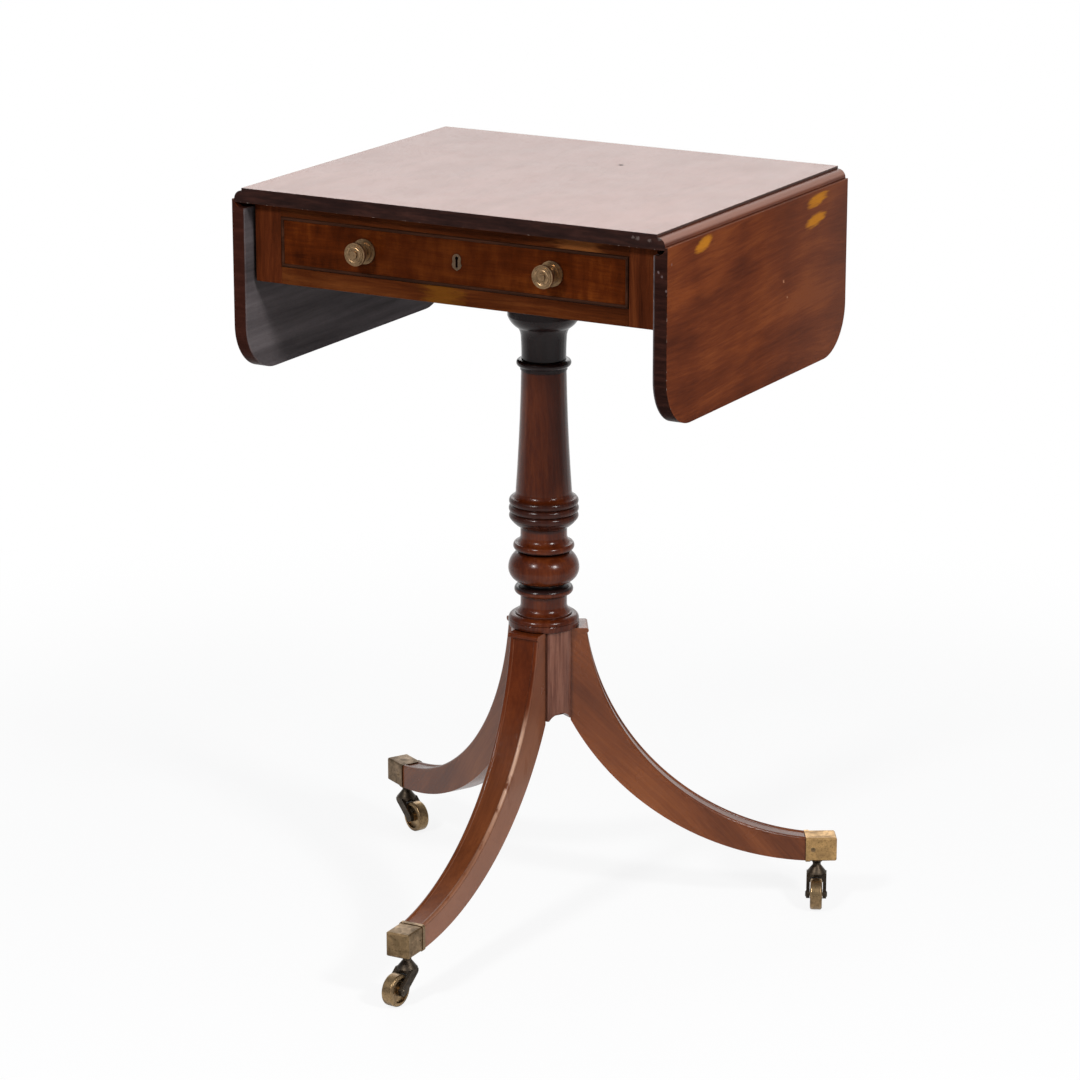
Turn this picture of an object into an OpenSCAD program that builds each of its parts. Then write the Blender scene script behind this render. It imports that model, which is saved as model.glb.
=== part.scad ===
// Drop-leaf work table: a pedestal table with one frieze drawer, two hanging leaves
// on rule joints, a turned pillar and three sabre legs on brass castors.
// The origin is on the floor under the pillar. The drawer faces -Y and the leaves are at +X and -X.
// The leaves are drawn hanging down and the drawer is drawn shut.

/* [Overall] */
// Height of the top face above the floor
table_h = 714; // [700:5:750]
// Width of the fixed top between the two rule joints
top_w = 424; // [420:2:450]
// Depth of the top from front to back
top_d = 362; // [356:2:390]
// Thickness of the top and of the leaves
board_t = 13.5; // [13.5:0.25:16]

/* [Leaves] */
// Reach of a leaf from its hinge pin to its free edge
leaf_w = 163.5; // [130:0.5:180]
// Radius of the two free corners of a leaf
leaf_corner_r = 46; // [15:1:70]

/* [Rule joint] */
// Height of the small square step above the quarter round
joint_fillet = 2.5; // [2:0.25:3]
// Radius of the quarter round on the fixed top
joint_r = 8; // [7.5:0.25:8.5]
// Gap between the quarter round and the hollow of the leaf
joint_gap = 0.3; // [0.2:0.05:0.5]

/* [Hinges] */
// Length of a hinge along its pin
hinge_l = 38; // [30:1:50]
// Distance from the end of the top to the middle of the nearest hinge
hinge_inset = 61; // [40:1:90]
// Thickness of a hinge flap
flap_t = 1.6; // [1.4:0.1:1.8]
// Reach of the flap under the fixed top
fixed_flap_l = 24; // [20:1:30]
// Reach of the flap on the leaf
leaf_flap_l = 36; // [30:1:45]
// Radius of the hinge knuckles
knuckle_r = 3; // [2.8:0.1:3.1]
// Radius of the hinge pin
hinge_pin_r = 1.3; // [1:0.1:1.6]
// Number of knuckles in a hinge
knuckles = 5; // [3:2:7]

/* [Frieze] */
// How far the fixed top stands out past the frieze at each side
side_overhang = 6; // [6:0.5:9]
// How far the top stands out past the frieze at the front and the back
end_overhang = 13; // [9:0.5:20]
// Height of the frieze below the top
frieze_h = 74; // [70:1:84]
// Height of the rail above the drawer
top_rail_h = 11.5; // [10:0.5:14]
// Height of the rail below the drawer
bottom_rail_h = 16; // [14:0.5:20]
// Thickness of the two front rails
front_rail_t = 22; // [18:1:24]
// Thickness of the back rail
back_rail_t = 18; // [14:1:22]
// Width of a corner post seen from the front
post_w = 27.5; // [27:0.5:32]
// Depth of a corner post
post_d = 28; // [26:1:34]
// Thickness of the inner side rails
side_rail_t = 12; // [10:0.5:12.5]
// Length of the rail tenons that run along the front and the back
tenon_l = 14; // [10:1:16]
// Length of the side rail tenons
side_tenon_l = 11; // [8:0.5:11.5]

/* [Fly brackets] */
// Length of a bracket from its pin to its free end
bracket_l = 104; // [80:1:115]
// Distance of the bracket pin behind the middle of the table
bracket_y = -4; // [-15:1:10]
// Number of wooden knuckles in a bracket joint
bracket_knuckles = 5; // [3:2:7]
// Radius of the bracket pin
bracket_pin_r = 2.2; // [1.5:0.1:3]

/* [Drawer] */
// Thickness of the drawer front
drawer_front_t = 16; // [15:0.5:20]
// Thickness of the drawer sides and back
drawer_side_t = 8; // [7:0.5:10]
// Thickness of the drawer bottom
drawer_bottom_t = 5.5; // [4:0.5:6]
// Free space behind the closed drawer
drawer_room = 14; // [8:1:40]
// Running gap at each side of the drawer
drawer_gap = 0.4; // [0.3:0.1:0.8]
// Height of the bottom panel above the lower edge of the sides
bottom_lift = 5.2; // [4.5:0.1:7]
// Drop of the upper edge of the sides and the back below the upper edge of the front
side_drop = 1.2; // [0.8:0.1:3]
// Width of the bead around the drawer front
cockbead_w = 3; // [2:0.25:4]
// Depth of the bead strips
cockbead_d = 9; // [7:0.5:9]
// How far the bead stands out from the face
cockbead_out = 1.3; // [0.8:0.1:1.5]

/* [Drawer fittings] */
// Distance of each knob from the middle
knob_x = 96; // [80:1:120]
// How far the knobs and the lock sit to the right of the drawer's middle
hardware_x = 6; // [-8:0.5:8]
// Diameter of the flange of a knob
knob_flange_d = 23; // [20:0.5:28]
// Diameter of the face of a knob
knob_face_d = 21; // [18:0.5:26]
// How far a knob stands out
knob_out = 19; // [16:0.5:24]
// Radius of the threaded shank of a knob
knob_shank_r = 2.4; // [2:0.1:3]
// Height of the keyhole plate
plate_h = 15; // [14:0.5:20]
// Width of the keyhole plate
plate_w = 10; // [9:0.1:14]
// Width of the lock case
lock_w = 46; // [38:1:56]

/* [Pillar] */
// Height of the turned block's lower edge above the floor
block_z = 197; // [190:1:200]
// Height of the block that carries the legs
block_h = 88; // [84:1:92]
// Radius of the block
block_r = 30.5; // [30:0.5:33]
// Radius of the moulded band above the block
base_band_r = 33.4; // [32:0.2:36]
// Height of the plain part of that band
base_band_h = 6.5; // [5:0.5:9]
// Radius of the quarter round above that band
base_ovolo_r = 5.5; // [4:0.5:7]
// Height of the step above the quarter round
base_step_h = 1.6; // [1:0.1:2.5]
// Height of the hollow above that step
base_cove_h = 8; // [6:0.5:10]
// Radius of the two narrow necks
neck_r = 22; // [20:0.2:24]
// Height of the neck under the dark collar
low_neck_h = 9.7; // [7:0.1:16]
// Radius of the dark collar under the bulb
collar_r = 27.9; // [26:0.1:30]
// Height of the dark collar
collar_h = 8; // [6:0.5:10]
// Height of the deep groove under the bulb
bulb_groove_h = 3; // [1.5:0.5:4]
// Largest radius of the bulb
bulb_r = 33.6; // [32:0.2:36]
// Radius of the lower curve of the bulb
bulb_low_arc = 14; // [12:0.5:16]
// Radius of the upper curve of the bulb
bulb_high_arc = 19; // [17:0.5:24]
// Height of the upper curve of the bulb
bulb_high_h = 18; // [14:0.5:18.5]
// Radius of the ring above the bulb
ring_r = 28.9; // [27:0.1:31]
// Height of the ring above the bulb
ring_h = 6.4; // [5:0.2:9]
// Height of the hollow above that ring
ring_cove_h = 6.6; // [5:0.2:9]
// Height of the neck under the reeded collar
mid_neck_h = 8.5; // [6:0.5:14]
// Height of the swelling under the reeds
reed_under_h = 7.4; // [6:0.2:10]
// Largest radius of the reeds
reed_r = 33; // [30:0.2:35]
// Height of one reed
reed_h = 7.2; // [6:0.2:9]
// Depth of the grooves between the reeds
reed_groove_d = 2; // [1:0.1:3]
// Number of reeds
reeds = 3; // [2:1:4]
// Height of the hollow between the reeds and the shaft
shaft_cove_h = 6.7; // [4:0.1:8]
// Radius of the shaft at its lower end
shaft_low_r = 26.4; // [25:0.2:28]
// Radius of the shaft at its upper end
shaft_high_r = 21.2; // [20:0.2:23]
// How far the shaft's side is hollowed in the middle
shaft_hollow = 0.8; // [0.2:0.1:1.5]
// Radius of the astragal at the top of the shaft
astragal_r = 25.7; // [24:0.1:28]
// Height of the astragal
astragal_h = 7; // [6:0.5:9]
// Height of the neck of the capital
cap_neck_h = 30.5; // [24:0.5:36]
// Radius of the capital's neck at its foot
cap_neck_r = 20.9; // [19.5:0.1:22]
// Height of the swelling moulding of the capital
echinus_h = 11; // [9:0.5:12]
// Radius of the disc under the bearer
abacus_r = 34; // [32:0.5:40]
// Height of that disc
abacus_h = 18; // [12:1:22]
// Radius of the tenon that goes through the bearer
pillar_tenon_r = 17; // [14:0.5:20]

/* [Bearer] */
// Thickness of the bearer in the middle
bearer_t = 24; // [20:1:28]
// Thickness of the bearer at its ends
bearer_end_t = 12; // [10:0.5:14]
// Width of the bearer from front to back
bearer_d = 96; // [84:2:110]

/* [Legs] */
// Turn of the three legs about the pillar from straight to the front
leg_turn = 1.3; // [-3:0.1:3]
// Distance of the castor stems from the pillar's axis
stance_r = 264; // [256:1:280]
// Distance of a leg's face from the axis at its head
leg_head_r = 41; // [39:0.5:44]
// Height above the floor where the underside of a leg meets the block
leg_heel_z = 184; // [178:1:190]
// Width of a leg at the block
leg_head_w = 30.5; // [29:0.5:33]
// Width of a leg at its toe
leg_toe_w = 22; // [20:0.5:23]
// Height of the nosing at the head of a leg
nosing_h = 5; // [4:0.5:8]
// How far the nosing stands out
nosing_out = 1; // [1:0.25:3]
// Radius of the bead along each upper edge of a leg
leg_bead_r = 2.4; // [1.5:0.1:3]
// Depth of the sunk panel between the beads
leg_panel_d = 1.2; // [0.6:0.1:1.8]
// How far each bead lies inside the leg's side
bead_quirk = 0.2; // [0.1:0.05:0.6]

/* [Castors] */
// Height of the underside of a toe cap above the floor
toe_cap_z = 46; // [45:0.5:50]
// Height of a toe cap
toe_cap_h = 23.5; // [22:0.5:26]
// Width of a toe cap
toe_cap_w = 23.5; // [22.5:0.5:26]
// Length of a toe cap
toe_cap_l = 30; // [28:1:34]
// Wall of a toe cap
toe_cap_wall = 1.6; // [1.2:0.1:2.2]
// Diameter of a castor wheel
wheel_d = 30; // [28:0.5:31]
// Width of a castor wheel
wheel_w = 11.5; // [10:0.5:12]
// Distance of the axle behind the swivel stem
trail = 18; // [17:0.5:20]
// Thickness of a fork cheek
cheek_t = 3.4; // [2.6:0.1:3.8]
// Radius of the swivel stem
stem_r = 3; // [2.5:0.1:3.5]
// Radius of the wheel axle
axle_r = 2; // [1.6:0.1:2.4]
// Direction of the front castor's trail, in degrees from +X
front_trail_a = -95; // [-180:5:180]
// Direction of the right castor's trail
right_trail_a = -65; // [-180:5:180]
// Direction of the left castor's trail
left_trail_a = -25; // [-180:5:180]

/* [Hidden] */
$fn = 96;
eps = 0.01;
cut = 1;

// Fits
glue_gap = 0.05;
pin_gap = 0.02;
run_gap = 0.05;
seat_gap = 0.2;

// Heights of the top, the frieze and the drawer opening
under_z = table_h - board_t;
pivot_x = top_w / 2;
face_out = joint_fillet + joint_r;
pivot_z = table_h - face_out;
pivot_drop = pivot_z - under_z;
cove_r = joint_r + joint_gap;
frieze_z = under_z - frieze_h;
open_z0 = frieze_z + bottom_rail_h;
open_z1 = under_z - top_rail_h;
frieze_x = top_w / 2 - side_overhang;
frieze_y = top_d / 2 - end_overhang;
hinge_y = top_d / 2 - hinge_inset;
open_x = frieze_x - post_w;
post_y = frieze_y - post_d;
fly_x0 = open_x + side_rail_t + joint_gap;
fly_t = frieze_x - fly_x0;
back_y = frieze_y - back_rail_t;
front_back_y = -frieze_y + front_rail_t;

// Hinges
knuckle_gap = 0.3;
knuckle_pitch = hinge_l / knuckles;
flap_start = pivot_drop + 0.5;
flap_relief = 0.15;
screw_r = 1.6;
screw_head_r = 3.2;
screw_head_h = 1.5;
screw_slot = 0.8;
screw_slot_d = 0.5;
flap_screw_l = 9.5;
flap_screw_y = hinge_l / 2 - 8;
fixed_screw_x = fixed_flap_l - 7;
leaf_screw_far = leaf_flap_l - 7;
leaf_screw_near = leaf_flap_l - 17;

// Fly brackets
fly_mid_x = fly_x0 + fly_t / 2;
bracket_slack = 0.3;
bracket_z0 = frieze_z + bracket_slack;
bracket_h = frieze_h - 2 * bracket_slack;
bracket_pitch = bracket_h / bracket_knuckles;
bracket_end_y = bracket_y + bracket_l;
scoop_r = 14;

// Runners, kickers and stops
strip_w = 12;
strip_h = 12;
stop_h = 3.2;
stop_w = 30;
stop_x = open_x - 68;
rail_screw_x = open_x - 68;
bearer_flat_l = 20;
stop_t = 5.5;
top_screw_l = 20;
side_screw_l = 22;
bearer_screw_l = 34;
frame_screw_r = 2;
frame_head_r = 4;
frame_head_h = 2.2;

// Drawer
drawer_x = open_x - drawer_gap;
drawer_z0 = open_z0 + seat_gap;
drawer_z1 = open_z1 - seat_gap;
drawer_h = drawer_z1 - drawer_z0;
drawer_y0 = -frieze_y;
drawer_y1 = back_y - drawer_room;
front_y1 = drawer_y0 + drawer_front_t;
side_z1 = drawer_z1 - side_drop;
panel_z0 = drawer_z0 + bottom_lift;
panel_z1 = panel_z0 + drawer_bottom_t;
panel_in = 4;
tail_l = drawer_front_t - cockbead_d - 0.5;
tail_slope = 1 / 6;
drawer_mid_z = (drawer_z0 + drawer_z1) / 2;
nut_w = 10;
nut_t = 3;
plate_t = 1;
plate_sink = 0.5;
key_w = 2.3;
key_h = 9.6;
lock_h = drawer_z1 - drawer_mid_z + 8;
lock_d = drawer_front_t - cockbead_d - 0.5;
lock_wall = 1.5;
bolt_w = 16;
bolt_t = 3;
bolt_h = 12;
bolt_rise = 6;

// Pillar, from the block upwards and from the bearer downwards
block_top = block_z + block_h;
band_top = block_top + base_band_h;
ovolo_top = band_top + base_ovolo_r;
base_cove_z = ovolo_top + base_step_h;
low_neck_z = base_cove_z + base_cove_h;
collar_z = low_neck_z + low_neck_h;
bulb_z = collar_z + collar_h + bulb_groove_h;
bulb_mid_z = bulb_z + bulb_low_arc;
ring_z = bulb_mid_z + bulb_high_h + 0.4;
ring_cove_z = ring_z + ring_h;
mid_neck_z = ring_cove_z + ring_cove_h;
reed_under_z = mid_neck_z + mid_neck_h;
reed_z = reed_under_z + reed_under_h;
shaft_cove_z = reed_z + reeds * reed_h;
shaft_z = shaft_cove_z + shaft_cove_h;
bearer_z = frieze_z - bearer_t;
abacus_z = bearer_z - abacus_h;
echinus_z = abacus_z - echinus_h;
cap_neck_z = echinus_z - cap_neck_h;
astragal_z = cap_neck_z - astragal_h;
shaft_fillet_h = 3;
shaft_top = astragal_z - shaft_fillet_h;
cap_flare_h = 9;
arc_fn = 720;

// Legs and the sockets that hold them
leg_angles = [leg_turn - 90, leg_turn + 30, leg_turn + 150];
arch_angles = [for (a = leg_angles) a + 60];
seat_r = 25;
key_in_r = 12;
key_out_w = 9;
key_in_w = 15;
nosing_z = block_top - nosing_h;
nosing_w = leg_head_w + 0.6;
toe_r = stance_r - toe_cap_l / 2 + 3;
toe_top_z = toe_cap_z + toe_cap_h - 1.2;
top_arc_x = stance_r + 18;
under_arc_x = stance_r + 7;
top_arc_r = arc_radius(top_arc_x - leg_head_r, nosing_z - toe_top_z);
under_arc_r = arc_radius(under_arc_x - block_r, leg_heel_z - toe_cap_z);
taper_a = atan((leg_head_w - leg_toe_w) / 2 / (toe_r - seat_r));
tongue_l = toe_cap_l - 4;
arch_r = 13;
arch_in_r = 16;

// Castors
wheel_r = wheel_d / 2;
toe_end_r = toe_r + toe_cap_l;
collar_l = 4.5;
collar_out = 0.6;
cap_chamfer = 1.4;
cap_screw_r = 1.2;
cap_screw_l = 6;
cap_screw_x = toe_r + collar_l + 2.6;
stem_top = toe_cap_z + 14;
neck_z1 = toe_cap_z - 0.3;
cheek_in = wheel_w / 2 + 0.5;
cheek_out = cheek_in + cheek_t;
cheek_r = 4.4;
crown_gap = 1.2;
crown_z = wheel_r + sqrt(pow(wheel_r, 2) - pow(trail - cheek_out, 2)) + crown_gap;
crown_h = 4;
waist_r = 3.9;
rivet_r = 3.2;
rivet_h = 0.9;

// Colours
mahogany = [0.36, 0.13, 0.07];
dark_mahogany = [0.2, 0.08, 0.05];
figured_mahogany = [0.45, 0.2, 0.08];
oak = [0.62, 0.45, 0.27];
brass = [0.56, 0.46, 0.28];
dark_brass = [0.25, 0.2, 0.14];
steel = [0.35, 0.33, 0.32];
black_bead = [0.09, 0.05, 0.04];

// Radius of an arc that starts level and climbs the given rise over the given run
function arc_radius(run, rise) = (run * run + rise * rise) / (2 * rise);

// Box between two opposite corners
module slab(lo, hi) {
    translate(lo) cube(hi - lo);
}

// Both halves of something that stands at +X
module both_sides() {
    children();
    mirror([1, 0, 0]) children();
}

// Countersunk wood screw with its head's face at the origin, pointing up.
// A positive slack gives the hole that it sits in.
module wood_screw(len, shank, head, head_h, slack = 0) {
    point = 2 * shank;
    difference() {
        union() {
            cylinder(r1 = head + slack, r2 = shank + slack, h = head_h);
            translate([0, 0, head_h - eps]) cylinder(r = shank + slack, h = len - point - head_h + 2 * eps);
            translate([0, 0, len - point]) cylinder(r1 = shank + slack, r2 = 0.3 + slack, h = point + slack);
            if (slack > 0) translate([0, 0, -cut]) cylinder(r = head + slack, h = cut + eps);
        }
        if (slack == 0)
            translate([-head - cut, -screw_slot / 2, -eps])
                cube([2 * (head + cut), screw_slot, screw_slot_d]);
    }
}

module flap_screw(slack = 0) {
    wood_screw(flap_screw_l, screw_r, screw_head_r, screw_head_h, slack);
}

module frame_screw(len, slack = 0) {
    wood_screw(len, frame_screw_r, frame_head_r, frame_head_h, slack);
}

// Top and leaves

// Section of the fixed top: a board with a quarter round and a small step along each side
module top_section() {
    translate([-pivot_x, 0]) square([2 * pivot_x, board_t]);
    for (s = [-1, 1])
        intersection() {
            translate([s * pivot_x, pivot_drop]) circle(r = joint_r);
            translate([s * pivot_x - joint_r, 0]) square([2 * joint_r, board_t]);
        }
}

// Room for one hinge in the right-hand edge of the fixed top
module hinge_mortise() {
    flap_w = hinge_l + 2 * flap_relief;
    reach = knuckle_r + 0.6;
    side = max(reach, norm([pivot_drop, 0]) + 0.4);
    flap_top = under_z + flap_t + 0.4;
    slab([pivot_x - fixed_flap_l - flap_relief, -flap_w / 2, under_z - cut],
         [pivot_x, flap_w / 2, under_z + flap_t]);
    slab([pivot_x - side, -flap_w / 2, under_z - cut], [pivot_x + reach, flap_w / 2, pivot_z + reach]);
    slab([pivot_x, -flap_w / 2, under_z - cut], [pivot_x + joint_r + cut, flap_w / 2, flap_top]);
}

module fixed_screw_places() {
    both_sides()
        for (y = [-hinge_y, hinge_y], dy = [-flap_screw_y, flap_screw_y])
            translate([pivot_x - fixed_screw_x, y + dy, under_z]) children();
}

module top_screw_places() {
    both_sides() {
        for (y = [-70, 80])
            translate([open_x - strip_w / 2, y, open_z1]) children();
        translate([rail_screw_x, -frieze_y + front_rail_t / 2, open_z1]) children();
    }
}

module top_board() {
    color(mahogany)
        difference() {
            translate([0, top_d / 2, under_z])
                rotate([90, 0, 0]) linear_extrude(top_d) top_section();
            both_sides()
                for (y = [-hinge_y, hinge_y]) translate([0, y, 0]) hinge_mortise();
            fixed_screw_places() flap_screw(glue_gap);
            top_screw_places() frame_screw(top_screw_l, glue_gap);
        }
}

// Section of the right-hand leaf as it hangs, about its hinge pin
module leaf_section() {
    difference() {
        translate([face_out - board_t, -leaf_w]) square([board_t, leaf_w - joint_gap]);
        circle(r = cove_r);
        translate([face_out - board_t - cut, -cove_r]) square([board_t - face_out + cut, cove_r + cut]);
    }
}

// Outline of a leaf as it hangs, about the middle of its hinge line
module leaf_outline() {
    half = top_d / 2;
    corner_y = half - leaf_corner_r;
    translate([-half, leaf_corner_r - leaf_w]) square([top_d, leaf_w - leaf_corner_r + cut]);
    translate([-corner_y, -leaf_w]) square([2 * corner_y, leaf_corner_r + cut]);
    for (s = [-1, 1]) translate([s * corner_y, leaf_corner_r - leaf_w]) circle(r = leaf_corner_r);
}

module leaf_screw_places() {
    for (y = [-hinge_y, hinge_y])
        translate([pivot_x + face_out - board_t, y, pivot_z]) {
            for (dy = [-flap_screw_y, flap_screw_y])
                translate([0, dy, -leaf_screw_near]) rotate([0, 90, 0]) children();
            translate([0, 0, -leaf_screw_far]) rotate([0, 90, 0]) children();
        }
}

// Right-hand leaf; the left one is its mirror image
module leaf() {
    flap_w = hinge_l + 2 * flap_relief;
    inner_x = pivot_x + face_out - board_t;
    difference() {
        intersection() {
            translate([pivot_x, top_d / 2, pivot_z])
                rotate([90, 0, 0]) linear_extrude(top_d) leaf_section();
            translate([pivot_x - board_t, 0, pivot_z])
                rotate([90, 0, 90]) linear_extrude(2 * board_t + face_out) leaf_outline();
        }
        for (y = [-hinge_y, hinge_y])
            slab([inner_x - cut, y - flap_w / 2, pivot_z - leaf_flap_l - flap_relief],
                 [inner_x + flap_t, y + flap_w / 2, pivot_z]);
        leaf_screw_places() flap_screw(glue_gap);
    }
}

module right_leaf() {
    color(mahogany) leaf();
}

module left_leaf() {
    color(mahogany) mirror([1, 0, 0]) leaf();
}

// Hinges

// Knuckles of one flap along the pin: the first flap has the odd ones, the other the even ones
module knuckle_row(first, bore_r) {
    for (i = [first : 2 : knuckles - 1])
        translate([0, -hinge_l / 2 + i * knuckle_pitch + knuckle_gap / 2, 0])
            rotate([-90, 0, 0])
                difference() {
                    cylinder(r = knuckle_r, h = knuckle_pitch - knuckle_gap);
                    translate([0, 0, -cut]) cylinder(r = bore_r, h = knuckle_pitch + cut);
                }
}

// One flap lying level below its pin, reaching towards +X
module flap(first, reach, bore_r) {
    knuckle_row(first, bore_r);
    slab([flap_start, -hinge_l / 2, -pivot_drop], [reach, hinge_l / 2, -pivot_drop + flap_t]);
    for (i = [first : 2 : knuckles - 1]) {
        y0 = -hinge_l / 2 + i * knuckle_pitch + knuckle_gap / 2;
        difference() {
            slab([0, y0, -pivot_drop],
                 [flap_start + eps, y0 + knuckle_pitch - knuckle_gap, -pivot_drop + flap_t]);
            rotate([-90, 0, 0]) cylinder(r = bore_r, h = hinge_l, center = true);
        }
    }
}

module hinge_fixed_flaps() {
    color(dark_brass)
        both_sides()
            for (y = [-hinge_y, hinge_y])
                difference() {
                    translate([pivot_x, y, pivot_z])
                        mirror([1, 0, 0]) flap(1, fixed_flap_l, hinge_pin_r + pin_gap);
                    for (dy = [-flap_screw_y, flap_screw_y])
                        translate([pivot_x - fixed_screw_x, y + dy, under_z]) flap_screw(glue_gap);
                }
}

module hinge_pins() {
    color(steel)
        both_sides()
            for (y = [-hinge_y, hinge_y])
                translate([pivot_x, y, pivot_z])
                    rotate([90, 0, 0]) cylinder(r = hinge_pin_r, h = hinge_l - knuckle_gap, center = true);
}

module leaf_flaps() {
    difference() {
        for (y = [-hinge_y, hinge_y])
            translate([pivot_x, y, pivot_z])
                rotate([0, 90, 0]) flap(0, leaf_flap_l, hinge_pin_r + run_gap);
        leaf_screw_places() flap_screw(glue_gap);
    }
}

module right_hinge_flaps() {
    color(dark_brass) leaf_flaps();
}

module left_hinge_flaps() {
    color(dark_brass) mirror([1, 0, 0]) leaf_flaps();
}

module hinge_fixed_screws() {
    color(steel) fixed_screw_places() flap_screw();
}

module right_leaf_screws() {
    color(steel) leaf_screw_places() flap_screw();
}

module left_leaf_screws() {
    color(steel) mirror([1, 0, 0]) leaf_screw_places() flap_screw();
}

// Frieze

// Tenons of the front and back rails at +X; a positive grow gives the mortise
module front_tenons(grow = 0) {
    y0 = -frieze_y + 6;
    for (z = [[frieze_z + 3, open_z0 - 3], [open_z1 + 3, under_z - 3]])
        slab([open_x - eps, y0 - grow, z[0] - grow], [open_x + tenon_l + grow, y0 + 8 + grow, z[1] + grow]);
}

module back_tenon(grow = 0) {
    y0 = back_y + 4;
    slab([open_x - eps, y0 - grow, frieze_z + 8 - grow],
         [open_x + tenon_l + grow, y0 + 8 + grow, under_z - 8 + grow]);
}

module side_tenon(grow = 0) {
    slab([open_x + 3 - grow, post_y - eps, frieze_z + 8 - grow],
         [open_x + side_rail_t - 3 + grow, post_y + side_tenon_l + grow, under_z - 8 + grow]);
}

module front_post() {
    difference() {
        slab([open_x, -frieze_y, frieze_z], [frieze_x, -post_y, under_z]);
        front_tenons(glue_gap);
        mirror([0, 1, 0]) side_tenon(glue_gap);
    }
}

module back_post() {
    difference() {
        slab([open_x, post_y, frieze_z], [frieze_x, frieze_y, under_z]);
        back_tenon(glue_gap);
        side_tenon(glue_gap);
    }
}

module front_right_post() {
    color(mahogany) front_post();
}

module front_left_post() {
    color(mahogany) mirror([1, 0, 0]) front_post();
}

module back_right_post() {
    color(mahogany) back_post();
}

module back_left_post() {
    color(mahogany) mirror([1, 0, 0]) back_post();
}

module front_top_rail() {
    color(figured_mahogany)
        difference() {
            union() {
                slab([-open_x, -frieze_y, open_z1], [open_x, front_back_y, under_z]);
                both_sides()
                    intersection() {
                        front_tenons();
                        slab([0, -frieze_y, open_z1], [frieze_x, 0, under_z]);
                    }
            }
            top_screw_places() frame_screw(top_screw_l, glue_gap);
            slab([hardware_x - bolt_w / 2 - 1, drawer_lock_y0() - 0.5, open_z1 - cut],
                 [hardware_x + bolt_w / 2 + 1, drawer_lock_y0() + bolt_t + 0.5, open_z1 + bolt_rise + 1]);
        }
}

module front_bottom_rail() {
    color(figured_mahogany) {
        slab([-open_x, -frieze_y, frieze_z], [open_x, front_back_y, open_z0]);
        both_sides()
            intersection() {
                front_tenons();
                slab([0, -frieze_y, frieze_z], [frieze_x, 0, open_z0]);
            }
    }
}

module back_rail() {
    color(mahogany) {
        slab([-open_x, back_y, frieze_z], [open_x, frieze_y, under_z]);
        both_sides() back_tenon();
    }
}

module side_screw_places() {
    for (y = [-post_y + 26, bracket_y - 34, bracket_end_y + 14])
        translate([open_x, y, (frieze_z + under_z) / 2]) rotate([0, 90, 0]) children();
}

module bearer_screw_places() {
    both_sides()
        for (y = [-30, 30])
            translate([open_x + side_rail_t / 2, y, frieze_z - bearer_end_t]) children();
}

module side_rail() {
    difference() {
        union() {
            slab([open_x, -post_y, frieze_z], [open_x + side_rail_t, post_y, under_z]);
            side_tenon();
            mirror([0, 1, 0]) side_tenon();
        }
        side_screw_places() frame_screw(side_screw_l, glue_gap);
        bearer_screw_places() frame_screw(bearer_screw_l, glue_gap);
    }
}

module right_side_rail() {
    color(oak) side_rail();
}

module left_side_rail() {
    color(oak) mirror([1, 0, 0]) side_rail();
}

// Fly brackets: wooden knuckle joints that let a bracket swing out under a raised leaf

// Plan of the fixed half about the pin, with its shoulder bevelled so that the bracket can turn 90 degrees
module knuckle_body(len) {
    r = fly_t / 2;
    gap = joint_gap / 2;
    translate([-r, -len]) square([r, len - gap]);
    polygon([[-eps, -gap], [0, -gap], [r, -r - gap], [r, -len], [-eps, -len]]);
}

// One half of a knuckle joint: barrels in the given levels and hollows in the others
module knuckle_half(first, len) {
    for (i = [0 : bracket_knuckles - 1])
        translate([0, 0, i * bracket_pitch])
            if (i % 2 == first) {
                translate([0, 0, joint_gap / 2])
                    linear_extrude(bracket_pitch - joint_gap) {
                        circle(r = fly_t / 2);
                        knuckle_body(len);
                    }
            } else {
                translate([0, 0, -joint_gap / 2 - eps])
                    linear_extrude(bracket_pitch + joint_gap + 2 * eps)
                        difference() {
                            knuckle_body(len);
                            circle(r = fly_t / 2 + joint_gap);
                        }
            }
}

// Places the plan of a knuckle joint at the bracket pin of the right-hand side
module at_bracket_pin() {
    translate([fly_mid_x, bracket_y, bracket_z0]) children();
}

module bracket_pin_hole(slack) {
    translate([0, 0, -cut]) cylinder(r = bracket_pin_r + slack, h = bracket_h + 2 * cut);
}

module fly_blocks() {
    end_gap = joint_gap;
    lean = fly_t / 2;
    difference() {
        union() {
            at_bracket_pin()
                intersection() {
                    knuckle_half(0, bracket_y + post_y);
                    slab([-fly_t, -post_y - bracket_y, 0], [fly_t, fly_t, bracket_h]);
                }
            translate([0, 0, bracket_z0])
                linear_extrude(bracket_h)
                    polygon([[fly_x0, bracket_end_y + lean + end_gap], [frieze_x, bracket_end_y + end_gap],
                             [frieze_x, post_y], [fly_x0, post_y]]);
        }
        at_bracket_pin() bracket_pin_hole(pin_gap);
        side_screw_places() frame_screw(side_screw_l, glue_gap);
    }
}

module fly_bracket() {
    lean = fly_t / 2;
    difference() {
        at_bracket_pin()
            intersection() {
                mirror([0, 1, 0]) knuckle_half(1, bracket_l + lean);
                linear_extrude(bracket_h)
                    polygon([[-lean, -fly_t], [lean, -fly_t], [lean, bracket_l], [-lean, bracket_l + lean]]);
            }
        at_bracket_pin() bracket_pin_hole(run_gap);
        translate([fly_x0 - cut, bracket_end_y - 2, bracket_z0])
            rotate([0, 90, 0]) cylinder(r = scoop_r, h = fly_t + 2 * cut);
    }
}

module right_fly_blocks() {
    color(oak) fly_blocks();
}

module left_fly_blocks() {
    color(oak) mirror([1, 0, 0]) fly_blocks();
}

module right_fly_bracket() {
    color(oak) fly_bracket();
}

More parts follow.
